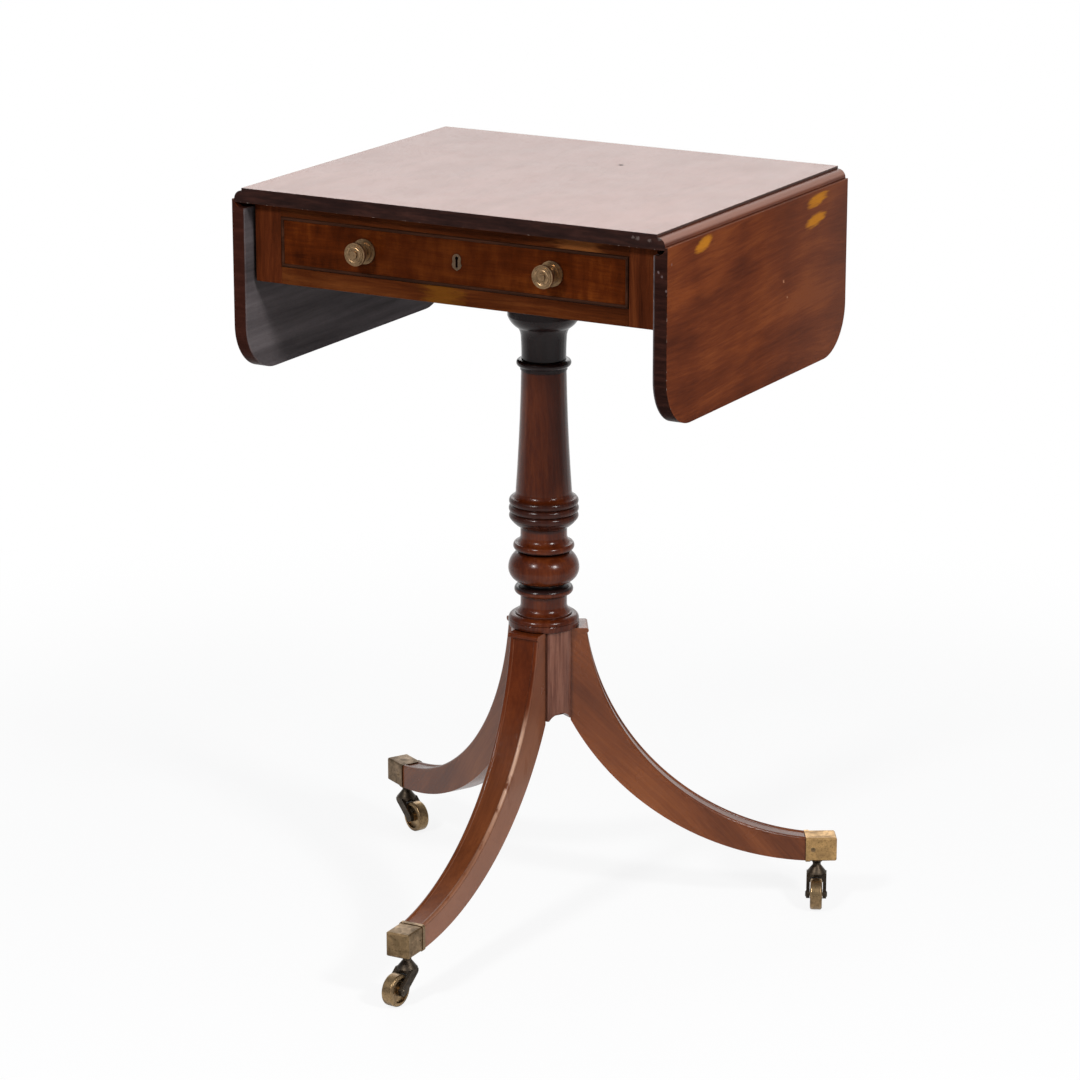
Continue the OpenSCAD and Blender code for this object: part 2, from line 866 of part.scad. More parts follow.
module left_fly_bracket() {
    color(oak) mirror([1, 0, 0]) fly_bracket();
}

module fly_bracket_pins() {
    color(steel) both_sides() at_bracket_pin() cylinder(r = bracket_pin_r, h = bracket_h);
}

module fly_block_screws() {
    color(steel) both_sides() side_screw_places() frame_screw(side_screw_l);
}

// Drawer bearings

module drawer_runners() {
    color(oak)
        both_sides()
            slab([open_x - strip_w, front_back_y, open_z0 - strip_h], [open_x, back_y, open_z0]);
}

module drawer_kickers() {
    color(oak)
        difference() {
            both_sides()
                slab([open_x - strip_w, front_back_y, open_z1], [open_x, back_y, under_z]);
            top_screw_places() frame_screw(top_screw_l, glue_gap);
        }
}

module drawer_stops() {
    color(oak)
        both_sides()
            slab([stop_x - stop_w / 2, front_y1 + glue_gap, open_z0],
                 [stop_x + stop_w / 2, front_y1 + glue_gap + stop_t, open_z0 + stop_h]);
}

module top_screws() {
    color(steel) top_screw_places() frame_screw(top_screw_l);
}

// Drawer

function drawer_lock_y0() = front_y1 - lock_d + lock_wall;

// Tails at the ends of a drawer side, seen from the side; a positive grow gives the sockets
module tails(y0, y1, z0, z1, count, grow = 0) {
    pitch = (z1 - z0) / count;
    spread = abs(y1 - y0) * tail_slope;
    for (i = [0 : count - 1]) {
        zc = z0 + (i + 0.5) * pitch;
        narrow = pitch * 0.28 + grow;
        polygon([[y0, zc - narrow], [y1, zc - narrow - spread],
                 [y1, zc + narrow + spread], [y0, zc + narrow]]);
    }
}

module side_tails(grow = 0) {
    translate([drawer_x - drawer_side_t - grow, 0, 0])
        rotate([90, 0, 90])
            linear_extrude(drawer_side_t + grow + (grow > 0 ? cut : 0)) {
                tails(front_y1 + eps, front_y1 - tail_l - grow, panel_z1, side_z1, 2, grow);
                tails(drawer_y1 - drawer_side_t - eps, drawer_y1 + (grow > 0 ? cut : 0), panel_z1,
                      side_z1, 2, grow);
            }
}

module drawer_side() {
    difference() {
        union() {
            slab([drawer_x - drawer_side_t, front_y1, drawer_z0],
                 [drawer_x, drawer_y1 - drawer_side_t, side_z1]);
            slab([drawer_x - drawer_side_t, front_y1, drawer_z0], [drawer_x, drawer_y1, panel_z1]);
            side_tails();
        }
        bottom_panel(glue_gap);
    }
}

module drawer_right_side() {
    color(oak) drawer_side();
}

module drawer_left_side() {
    color(oak) mirror([1, 0, 0]) drawer_side();
}

// Panel that slides into grooves in the front and the sides
module bottom_panel(grow = 0) {
    x = drawer_x - drawer_side_t + panel_in + grow;
    slab([-x, front_y1 - panel_in - grow, panel_z0 - grow],
         [x, drawer_y1 + (grow > 0 ? cut : 0), panel_z1 + grow]);
}

module drawer_bottom() {
    color(oak) bottom_panel();
}

module drawer_back() {
    color(oak)
        difference() {
            slab([-drawer_x, drawer_y1 - drawer_side_t, panel_z1 + glue_gap],
                 [drawer_x, drawer_y1, side_z1]);
            both_sides() side_tails(glue_gap);
        }
}

// Keyhole: a round eye above a slot
module keyhole() {
    square([key_w, key_h], center = true);
    translate([0, key_h / 2 - key_w / 2]) circle(r = key_w * 0.75);
}

// Outline of the keyhole plate: round top, a slight waist, and a wider foot that ends in a blunt point
module plate_outline() {
    top_r = plate_w * 0.44;
    waist = plate_w * 0.4;
    foot = plate_w * 0.36;
    translate([0, plate_h / 2 - top_r]) circle(r = top_r);
    polygon([[-top_r, plate_h / 2 - top_r], [-waist, 0], [-plate_w / 2, -plate_h * 0.16],
             [-foot, -plate_h * 0.36], [0, -plate_h / 2], [foot, -plate_h * 0.36],
             [plate_w / 2, -plate_h * 0.16], [waist, 0], [top_r, plate_h / 2 - top_r]]);
}

// Places a plan drawn in X and Z against the drawer's face, growing towards -Y
module on_face(y) {
    translate([hardware_x, y, drawer_mid_z]) rotate([90, 0, 0]) children();
}

module lock_body(grow = 0) {
    half = lock_w / 2 + grow;
    slab([hardware_x - half, front_y1 - lock_d - grow, drawer_z1 - lock_h - grow],
         [hardware_x + half, front_y1 + (grow > 0 ? cut : 0), drawer_z1 + (grow > 0 ? cut : 0)]);
}

module knob_places() {
    for (x = [hardware_x - knob_x, hardware_x + knob_x]) translate([x, 0, 0]) children();
}

module drawer_front() {
    color(figured_mahogany)
        difference() {
            union() {
                slab([-drawer_x, drawer_y0 + cockbead_d, drawer_z0], [drawer_x, front_y1, drawer_z1]);
                slab([-drawer_x + cockbead_w, drawer_y0, drawer_z0 + cockbead_w],
                     [drawer_x - cockbead_w, front_y1, drawer_z1 - cockbead_w]);
            }
            both_sides() side_tails(glue_gap);
            bottom_panel(glue_gap);
            knob_places()
                translate([0, drawer_y0 - cut, drawer_mid_z])
                    rotate([-90, 0, 0]) cylinder(r = knob_shank_r + pin_gap, h = drawer_front_t + 2 * cut);
            on_face(drawer_y0 + plate_sink) linear_extrude(plate_t + cut) offset_plate(glue_gap);
            on_face(front_y1) linear_extrude(drawer_front_t + cut) keyhole();
            lock_body(glue_gap);
        }
}

// The plate's outline with a small gap all round
module offset_plate(gap) {
    s = 1 + 2 * gap / plate_w;
    scale([s, s]) plate_outline();
}

// One bead strip along X with its ends cut at 45 degrees; its back corner is at the origin
module bead_strip(len) {
    nose = cockbead_w / 2;
    intersection() {
        translate([-len / 2, 0, 0])
            rotate([90, 0, 90])
                linear_extrude(len) {
                    translate([-cockbead_out - cockbead_d + nose, 0])
                        square([cockbead_d + cockbead_out - nose, cockbead_w]);
                    translate([-cockbead_out - cockbead_d + nose, nose]) circle(r = nose);
                }
        translate([0, cut, 0])
            rotate([90, 0, 0])
                linear_extrude(cockbead_d + cockbead_out + 2 * cut)
                    polygon([[-len / 2, 0], [len / 2, 0], [len / 2 - cockbead_w, cockbead_w],
                             [-len / 2 + cockbead_w, cockbead_w]]);
    }
}

module drawer_cockbeads() {
    color(black_bead)
        translate([0, drawer_y0 + cockbead_d, drawer_mid_z])
            for (a = [0, 180]) {
                rotate([0, a, 0]) translate([0, 0, -drawer_h / 2]) bead_strip(2 * drawer_x);
                rotate([0, a + 90, 0]) translate([0, 0, -drawer_x]) bead_strip(drawer_h);
            }
}

// Half section of a knob about its axis: flange, neck, turned face and central button
module knob_section() {
    flange = knob_flange_d / 2;
    face = knob_face_d / 2;
    face_t = 5;
    difference() {
        union() {
            square([flange, 1.6]);
            translate([0, 1.6 - eps]) square([flange * 0.72, 1.4]);
            translate([0, 2.8]) square([face * 0.5, knob_out - 2.8 - face_t + eps]);
            polygon([[0, knob_out - face_t - 4], [face * 0.5, knob_out - face_t - 4],
                     [face - 1, knob_out - face_t], [0, knob_out - face_t]]);
            translate([0, knob_out - face_t - eps]) square([face, face_t - 2]);
            translate([0, knob_out - 3 - eps]) square([face * 0.82, 1.6]);
            translate([0, knob_out - 1.6]) square([face * 0.3, 1.6]);
        }
        translate([face * 0.62, knob_out - 0.6]) circle(r = 1.3);
    }
}

module drawer_knobs() {
    color(brass)
        knob_places()
            translate([0, drawer_y0, drawer_mid_z])
                rotate([90, 0, 0]) {
                    rotate_extrude() knob_section();
                    translate([0, 0, -drawer_front_t - nut_t - 1])
                        cylinder(r = knob_shank_r, h = drawer_front_t + nut_t + 2);
                }
}

module knob_nuts() {
    color(brass)
        knob_places()
            translate([0, front_y1, drawer_mid_z])
                rotate([-90, 0, 0])
                    difference() {
                        translate([-nut_w / 2, -nut_w / 2, 0]) cube([nut_w, nut_w, nut_t]);
                        translate([0, 0, -cut]) cylinder(r = knob_shank_r + pin_gap, h = nut_t + 2 * cut);
                    }
}

module keyhole_plate() {
    color(brass)
        on_face(drawer_y0 + plate_sink)
            linear_extrude(plate_t) difference() {
                plate_outline();
                keyhole();
            }
}

module bolt_block(grow = 0) {
    half = bolt_w / 2 + grow;
    slab([hardware_x - half, drawer_lock_y0() - grow, drawer_z1 - bolt_h - grow],
         [hardware_x + half, drawer_lock_y0() + bolt_t + grow, drawer_z1 + (grow > 0 ? cut : 0)]);
}

module lock_case() {
    color(brass) {
        difference() {
            lock_body();
            on_face(front_y1 - lock_wall) linear_extrude(lock_d + cut) {
                keyhole();
                circle(r = 3);
            }
            bolt_block(glue_gap);
        }
        translate([hardware_x, front_y1 - lock_wall + eps, drawer_mid_z])
            rotate([90, 0, 0]) cylinder(r = 0.9, h = lock_d - lock_wall - 1);
    }
}

module lock_bolt() {
    color(steel) bolt_block();
}

// Pillar and its bearer

module pillar_bearer() {
    half = open_x + side_rail_t;
    flat = abacus_r + 30;
    color(dark_mahogany)
        difference() {
            translate([0, bearer_d / 2, 0])
                rotate([90, 0, 0])
                    linear_extrude(bearer_d)
                        polygon([[-half, frieze_z], [half, frieze_z], [half, frieze_z - bearer_end_t],
                                 [half - bearer_flat_l, frieze_z - bearer_end_t],
                                 [flat, bearer_z], [-flat, bearer_z],
                                 [bearer_flat_l - half, frieze_z - bearer_end_t],
                                 [-half, frieze_z - bearer_end_t]]);
            translate([0, 0, bearer_z - cut]) cylinder(r = pillar_tenon_r + glue_gap, h = bearer_t + 2 * cut);
            bearer_screw_places() frame_screw(bearer_screw_l, glue_gap);
        }
}

module bearer_screws() {
    color(steel) bearer_screw_places() frame_screw(bearer_screw_l);
}

// Plain length of the turning
module band(z0, z1, r) {
    translate([0, z0]) square([r, z1 - z0]);
}

// Half-round bead that fills the given height
module bead(z0, h, r) {
    translate([r - h / 2, z0 + h / 2]) circle(r = h / 2);
    band(z0, z0 + h, r - h / 2);
}

// Band with rounded edges
module round_band(z0, z1, r, edge) {
    band(z0 + edge, z1 - edge, r);
    band(z0, z1, r - edge);
    for (z = [z0 + edge, z1 - edge]) translate([r - edge, z]) circle(r = edge);
}

// Radius of an arc over a chord of the given length with the given rise
function chord_radius(chord, rise) = (chord * chord / 4 + rise * rise) / (2 * rise);

// Centre of the arc that stands on the chord between two points and bulges outwards by the given rise
function arc_centre(p, q, rise) =
    let (c = norm(q - p), out = [q[1] - p[1], p[0] - q[0]] / c)
    (p + q) / 2 - out * (chord_radius(c, rise) - rise);

// Moulding between two heights and radii whose side swells outwards
module swell(z0, r0, z1, r1, rise) {
    p = [r0, z0];
    q = [r1, z1];
    polygon([[0, z0], [r0 - 0.7, z0], [r1 - 0.7, z1], [0, z1]]);
    intersection() {
        translate(arc_centre(p, q, rise)) circle(r = chord_radius(norm(q - p), rise), $fn = arc_fn);
        band(z0, z1, max(r0, r1) + rise + cut);
    }
}

// Moulding between two heights and radii whose side is hollowed
module hollow(z0, r0, z1, r1, rise) {
    p = [r0, z0];
    q = [r1, z1];
    difference() {
        band(z0, z1, max(r0, r1) + 0.5);
        translate(p + q - arc_centre(p, q, rise))
            circle(r = chord_radius(norm(q - p), rise), $fn = arc_fn);
    }
}

// Quarter circle that swells downwards to the given radius
module ovolo_down(z, r, q) {
    intersection() {
        translate([r - q, z]) circle(r = q);
        band(z, z + q, r);
    }
    band(z, z + q, r - q);
}

// Bulb of two arcs that share their widest point
module bulb() {
    intersection() {
        translate([bulb_r - bulb_low_arc, bulb_mid_z]) circle(r = bulb_low_arc);
        band(bulb_z, bulb_mid_z, bulb_r + cut);
    }
    intersection() {
        translate([bulb_r - bulb_high_arc, bulb_mid_z]) circle(r = bulb_high_arc);
        band(bulb_mid_z, bulb_mid_z + bulb_high_h, bulb_r + cut);
    }
    band(bulb_z - bulb_groove_h - eps, ring_z + eps, bulb_r - bulb_low_arc);
}

// Base of the pillar, from the block to the lower neck
module base_section() {
    band(block_z, block_top + eps, block_r);
    round_band(block_top, band_top, base_band_r, 1);
    ovolo_down(band_top - eps, base_band_r, base_ovolo_r);
    band(ovolo_top - 1, base_cove_z, base_band_r - base_ovolo_r - 1);
    hollow(base_cove_z - eps, neck_r + 4.4, low_neck_z, neck_r, 1.4);
    band(base_cove_z, collar_z + eps, neck_r);
}

// Collar, bulb, ring and upper neck
module middle_section() {
    bead(collar_z, collar_h, collar_r);
    bulb();
    swell(ring_z, ring_r - 1.4, ring_cove_z, ring_r - 1.4, 1.4);
    hollow(ring_cove_z - eps, neck_r + 4.8, mid_neck_z, neck_r, 1.2);
    band(ring_cove_z, reed_under_z + eps, neck_r);
}

// Reeded collar
module reed_section() {
    swell(reed_under_z, neck_r + 0.3, reed_z, reed_r - reed_groove_d, 0.7);
    for (i = [0 : reeds - 1]) {
        r = reed_r - reed_groove_d - 0.5 + 0.5 * sin(180 * (i + 0.5) / reeds);
        swell(reed_z + i * reed_h - eps, r, reed_z + (i + 1) * reed_h, r, reed_groove_d);
    }
    hollow(shaft_cove_z - eps, reed_r - reed_groove_d - 0.8, shaft_z, shaft_low_r, 1.2);
}

// Capital, from the end of the shaft to the bearer, with the tenon above it
module capital_section() {
    flare_z = echinus_z - cap_flare_h;
    bead(shaft_top - 0.6, 1.8, shaft_high_r + 0.5);
    band(shaft_top - eps, astragal_z + eps, shaft_high_r + 0.9);
    bead(astragal_z, astragal_h, astragal_r);
    hollow(cap_neck_z - eps, cap_neck_r, flare_z + eps, cap_neck_r + 0.6, 0.2);
    hollow(flare_z, cap_neck_r + 0.6, echinus_z, cap_neck_r + 4, 0.8);
    swell(echinus_z - eps, cap_neck_r + 4.6, abacus_z + eps, abacus_r, 1.2);
    band(abacus_z, bearer_z, abacus_r);
    band(bearer_z - eps, frieze_z, pillar_tenon_r);
}

module pillar_section() {
    base_section();
    middle_section();
    reed_section();
    hollow(shaft_z - eps, shaft_low_r, shaft_top, shaft_high_r, shaft_hollow);
    capital_section();
}

// Plan of the dovetail key at the inner end of a leg that points along +X
module key_plan(grow = 0) {
    out = key_out_w / 2 + grow;
    inn = key_in_w / 2 + grow;
    polygon([[key_in_r - grow, -inn], [seat_r + eps + grow, -out], [seat_r + eps + grow, out],
             [key_in_r - grow, inn]]);
}

module pillar() {
    color(dark_mahogany)
        difference() {
            rotate_extrude() pillar_section();
            for (a = leg_angles)
                rotate([0, 0, a]) {
                    slab([seat_r, -block_r, block_z - cut], [block_r + cut, block_r, block_top]);
                    translate([0, 0, block_z - cut])
                        linear_extrude(nosing_z - block_z + cut + glue_gap) key_plan(glue_gap);
                }
            for (a = arch_angles)
                rotate([0, 0, a])
                    translate([arch_in_r, 0, block_z - 6])
                        rotate([0, 90, 0]) cylinder(r = arch_r, h = block_r);
        }
}

// Legs

// Side view of a leg between two arcs, with its upper face lowered by the given depth
module leg_side(lower) {
    difference() {
        intersection() {
            translate([under_arc_x, toe_cap_z + under_arc_r]) circle(r = under_arc_r, $fn = 360);
            translate([seat_r, 0]) square([toe_r - seat_r, nosing_z + eps]);
        }
        translate([top_arc_x, toe_top_z + top_arc_r]) circle(r = top_arc_r + lower, $fn = 360);
    }
}

// Plan of a leg: the taper from the head to the toe, drawn in from both sides by the given amount
module leg_plan(inset) {
    head = leg_head_w / 2 - inset;
    toe = leg_toe_w / 2 - inset;
    polygon([[seat_r, -head], [toe_r, -toe], [toe_r, toe], [seat_r, head]]);
}

module leg_layer(lower, inset) {
    intersection() {
        translate([0, leg_head_w / 2, 0]) rotate([90, 0, 0]) linear_extrude(leg_head_w) leg_side(lower);
        linear_extrude(block_top) leg_plan(inset);
    }
}

// Bead along one upper edge, turned with the taper of the leg; its flank runs down into the leg
module leg_bead(s) {
    sink = 1.5;
    translate([seat_r, s * leg_head_w / 2, 0])
        rotate([0, 0, -s * taper_a])
            translate([-seat_r, -s * (leg_bead_r + bead_quirk), 0])
                intersection() {
                    translate([top_arc_x, 0, toe_top_z + top_arc_r])
                        rotate([90, 0, 0])
                            rotate_extrude()
                                translate([top_arc_r + leg_bead_r, 0]) {
                                    circle(r = leg_bead_r);
                                    translate([0, -leg_bead_r]) square([sink, 2 * leg_bead_r]);
                                }
                    slab([seat_r, -leg_head_w, toe_cap_z + toe_cap_h / 2], [toe_r, leg_head_w, nosing_z + 1]);
                }
}

module leg_tongue(grow = 0) {
    half = toe_cap_w / 2 - toe_cap_wall - glue_gap + grow;
    slab([toe_r - eps, -half, toe_cap_z + toe_cap_wall + glue_gap - grow],
         [toe_r + tongue_l + grow, half, toe_cap_z + toe_cap_h - toe_cap_wall - glue_gap + grow]);
}

module leg() {
    color(mahogany)
        difference() {
            union() {
                leg_layer(leg_bead_r + 0.4, 0);
                leg_layer(leg_panel_d, leg_bead_r);
                leg_bead(-1);
                leg_bead(1);
                translate([0, nosing_w / 2, 0])
                    rotate([90, 0, 0])
                        linear_extrude(nosing_w) leg_head();
                translate([0, 0, block_z]) linear_extrude(nosing_z - block_z) key_plan();
                leg_tongue();
            }
            translate([stance_r, 0, toe_cap_z])
                cylinder(r = stem_r + seat_gap, h = stem_top - toe_cap_z + seat_gap);
            cap_screw_places() cap_screw(glue_gap);
        }
}

// Side view of the nosing that finishes the head of a leg
module leg_head() {
    round_r = nosing_h / 2;
    front = leg_head_r + nosing_out;
    translate([seat_r, nosing_z]) square([front - round_r - seat_r, nosing_h]);
    translate([front - round_r, nosing_z + round_r]) circle(r = round_r);
}

module front_leg() {
    rotate([0, 0, leg_angles[0]]) leg();
}

module right_leg() {
    rotate([0, 0, leg_angles[1]]) leg();
}

module left_leg() {
    rotate([0, 0, leg_angles[2]]) leg();
}

// Toe caps and castors

module cap_screw(slack = 0) {
    wood_screw(cap_screw_l, cap_screw_r, 2 * cap_screw_r, 1, slack);
}

module cap_screw_places() {
    for (s = [-1, 1])
        translate([cap_screw_x, s * toe_cap_w / 2, toe_cap_z + toe_cap_h / 2])
            rotate([s * 90, 0, 0]) children();
}

// Outer shape of a toe cap, with its long edges and its end bevelled
module cap_outside() {
    half = toe_cap_w / 2;
    c = cap_chamfer;
    intersection() {
        translate([toe_r, 0, toe_cap_z + toe_cap_h / 2])
            rotate([90, 0, 90])
                linear_extrude(toe_cap_l) bevelled(toe_cap_w, toe_cap_h, c);
        linear_extrude(2 * toe_cap_z + toe_cap_h)
            polygon([[toe_r, -half], [toe_end_r - c, -half], [toe_end_r, c - half],
                     [toe_end_r, half - c], [toe_end_r - c, half], [toe_r, half]]);
        translate([0, half, 0])
            rotate([90, 0, 0])
                linear_extrude(toe_cap_w)
                    polygon([[toe_r, toe_cap_z], [toe_end_r - c, toe_cap_z], [toe_end_r, toe_cap_z + c],
                             [toe_end_r, toe_cap_z + toe_cap_h - c], [toe_end_r - c, toe_cap_z + toe_cap_h],
                             [toe_r, toe_cap_z + toe_cap_h]]);
    }
}

// Rectangle about the origin with cut corners
module bevelled(w, h, c) {
    polygon([[c - w / 2, -h / 2], [w / 2 - c, -h / 2], [w / 2, c - h / 2], [w / 2, h / 2 - c],
             [w / 2 - c, h / 2], [c - w / 2, h / 2], [-w / 2, h / 2 - c], [-w / 2, c - h / 2]]);
}

module toe_cap() {
    color(brass)
        difference() {
            union() {
                cap_outside();
                translate([toe_r, 0, toe_cap_z + toe_cap_h / 2])
                    rotate([90, 0, 90])
                        linear_extrude(collar_l)
                            bevelled(toe_cap_w + 2 * collar_out, toe_cap_h + 2 * collar_out, cap_chamfer);
            }
            translate([-cut, 0, 0]) leg_tongue(glue_gap);
            leg_tongue(glue_gap);
            translate([stance_r, 0, toe_cap_z - cut])
                cylinder(r = stem_r + run_gap, h = toe_cap_wall + 2 * cut);
            cap_screw_places() cap_screw(glue_gap);
        }
}

module front_toe_cap() {
    rotate([0, 0, leg_angles[0]]) toe_cap();
}

module right_toe_cap() {
    rotate([0, 0, leg_angles[1]]) toe_cap();
}

module left_toe_cap() {
    rotate([0, 0, leg_angles[2]]) toe_cap();
}

module cap_screws() {
    color(dark_brass)
        for (a = leg_angles) rotate([0, 0, a]) cap_screw_places() cap_screw();
}

// Places a castor at the end of a leg, with its wheel trailing in the given direction
module at_castor(leg_a, trail_a) {
    rotate([0, 0, leg_a]) translate([stance_r, 0, 0]) rotate([0, 0, trail_a - leg_a]) children();
}

// Bar with round ends between two points
module bar(p, q, r) {
    along = (q - p) / norm(q - p);
    side = [-along[1], along[0]] * r;
    polygon([p + side, q + side, q - side, p - side]);
    translate(p) circle(r = r);
    translate(q) circle(r = r);
}

// Neck and crown of a fork, turned about the stem
module neck_section() {
    band(toe_cap_z - eps, stem_top, stem_r);
    polygon([[0, neck_z1], [6.4, neck_z1], [6.2, neck_z1 - 1.8], [waist_r, neck_z1 - 5],
             [waist_r, neck_z1 - 7], [cheek_out - 1.2, crown_z + crown_h],
             [cheek_out, crown_z + crown_h - 1.4], [cheek_out, crown_z], [0, crown_z]]);
    band(neck_z1 - eps, toe_cap_z, stem_r);
}

module fork() {
    color(dark_brass)
        difference() {
            union() {
                rotate_extrude() neck_section();
                difference() {
                    translate([0, cheek_out, 0])
                        rotate([90, 0, 0])
                            linear_extrude(2 * cheek_out)
                                intersection() {
                                    bar([0, crown_z + 1], [trail, wheel_r], cheek_r);
                                    translate([-2 * cheek_r, 0])
                                        square([trail + 4 * cheek_r, crown_z + crown_h - 1.4]);
                                }
                    translate([trail, 0, wheel_r])
                        rotate([90, 0, 0])
                            cylinder(r = wheel_r + crown_gap, h = 2 * cheek_in, center = true);
                }
            }
            translate([trail, 0, wheel_r])
                rotate([90, 0, 0]) cylinder(r = axle_r + pin_gap, h = 4 * cheek_out, center = true);
        }
}

module axle() {
    color(dark_brass)
        translate([trail, 0, wheel_r])
            rotate([90, 0, 0]) {
                cylinder(r = axle_r, h = 2 * cheek_out + 2 * eps, center = true);
                for (s = [-1, 1])
                    scale([1, 1, s])
                        translate([0, 0, cheek_out])
                            cylinder(r1 = rivet_r, r2 = rivet_r - 1, h = rivet_h);
            }
}

// Half section of a wheel about its axle: round-edged tread, sunk sides and a hub
module wheel_section() {
    half = wheel_w / 2;
    edge = 2;
    rim_in = wheel_r - 3.4;
    hub_r = 4.6;
    difference() {
        union() {
            translate([0, -half + edge]) square([wheel_r, wheel_w - 2 * edge]);
            translate([0, -half]) square([wheel_r - edge, wheel_w]);
            for (s = [-1, 1]) translate([wheel_r - edge, s * (half - edge)]) circle(r = edge);
            translate([0, -cheek_in + 0.2]) square([hub_r, 2 * cheek_in - 0.4]);
        }
        for (s = [-1, 1])
            translate([hub_r, s > 0 ? half - 2.2 : -half - cut]) square([rim_in - hub_r, 2.2 + cut]);
        translate([-eps, -wheel_w]) square([axle_r + run_gap + eps, 2 * wheel_w]);
    }
}

module wheel() {
    color(brass) translate([trail, 0, wheel_r]) rotate([90, 0, 0]) rotate_extrude() wheel_section();
}

module front_castor_fork() {
    at_castor(leg_angles[0], front_trail_a) fork();
}

module right_castor_fork() {
    at_castor(leg_angles[1], right_trail_a) fork();
}

module left_castor_fork() {
    at_castor(leg_angles[2], left_trail_a) fork();
}

module front_castor_axle() {
    at_castor(leg_angles[0], front_trail_a) axle();
}

module right_castor_axle() {
    at_castor(leg_angles[1], right_trail_a) axle();
}

module left_castor_axle() {
    at_castor(leg_angles[2], left_trail_a) axle();
}

module front_castor_wheel() {
    at_castor(leg_angles[0], front_trail_a) wheel();
}

module right_castor_wheel() {
    at_castor(leg_angles[1], right_trail_a) wheel();
}

module left_castor_wheel() {
    at_castor(leg_angles[2], left_trail_a) wheel();
}

top_board();
left_leaf();
right_leaf();
hinge_fixed_flaps();
hinge_pins();
hinge_fixed_screws();
left_hinge_flaps();
right_hinge_flaps();
left_leaf_screws();
right_leaf_screws();
front_left_post();
front_right_post();
back_left_post();
back_right_post();
front_top_rail();
front_bottom_rail();
back_rail();
left_side_rail();
right_side_rail();
left_fly_blocks();
right_fly_blocks();
left_fly_bracket();
right_fly_bracket();
fly_bracket_pins();
fly_block_screws();
drawer_runners();
drawer_kickers();
drawer_stops();
top_screws();
drawer_front();
drawer_left_side();
drawer_right_side();
drawer_back();
drawer_bottom();
drawer_cockbeads();
drawer_knobs();
knob_nuts();
keyhole_plate();
lock_case();
lock_bolt();
pillar_bearer();
bearer_screws();
pillar();
front_leg();
right_leg();
left_leg();
front_toe_cap();
right_toe_cap();
left_toe_cap();
cap_screws();
front_castor_fork();
right_castor_fork();
left_castor_fork();
front_castor_axle();
right_castor_axle();
left_castor_axle();
front_castor_wheel();
right_castor_wheel();
left_castor_wheel();
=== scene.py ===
# Looks of the drop-leaf work table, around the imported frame
# Metres, floor at z = 0, drawer towards -Y, leaves at +X and -X
import math
import bpy
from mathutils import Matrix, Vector

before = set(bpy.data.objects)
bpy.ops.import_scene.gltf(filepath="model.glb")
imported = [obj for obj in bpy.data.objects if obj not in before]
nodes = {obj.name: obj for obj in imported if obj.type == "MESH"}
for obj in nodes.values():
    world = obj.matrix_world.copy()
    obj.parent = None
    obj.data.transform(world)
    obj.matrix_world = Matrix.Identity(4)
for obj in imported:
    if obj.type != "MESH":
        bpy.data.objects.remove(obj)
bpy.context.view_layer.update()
scene = bpy.context.scene
mm = 0.001


# A colour made darker or brighter, then lifted
def shade(colour, factor, lift=0.0):
    return tuple(min(1, v * factor + lift) for v in colour)


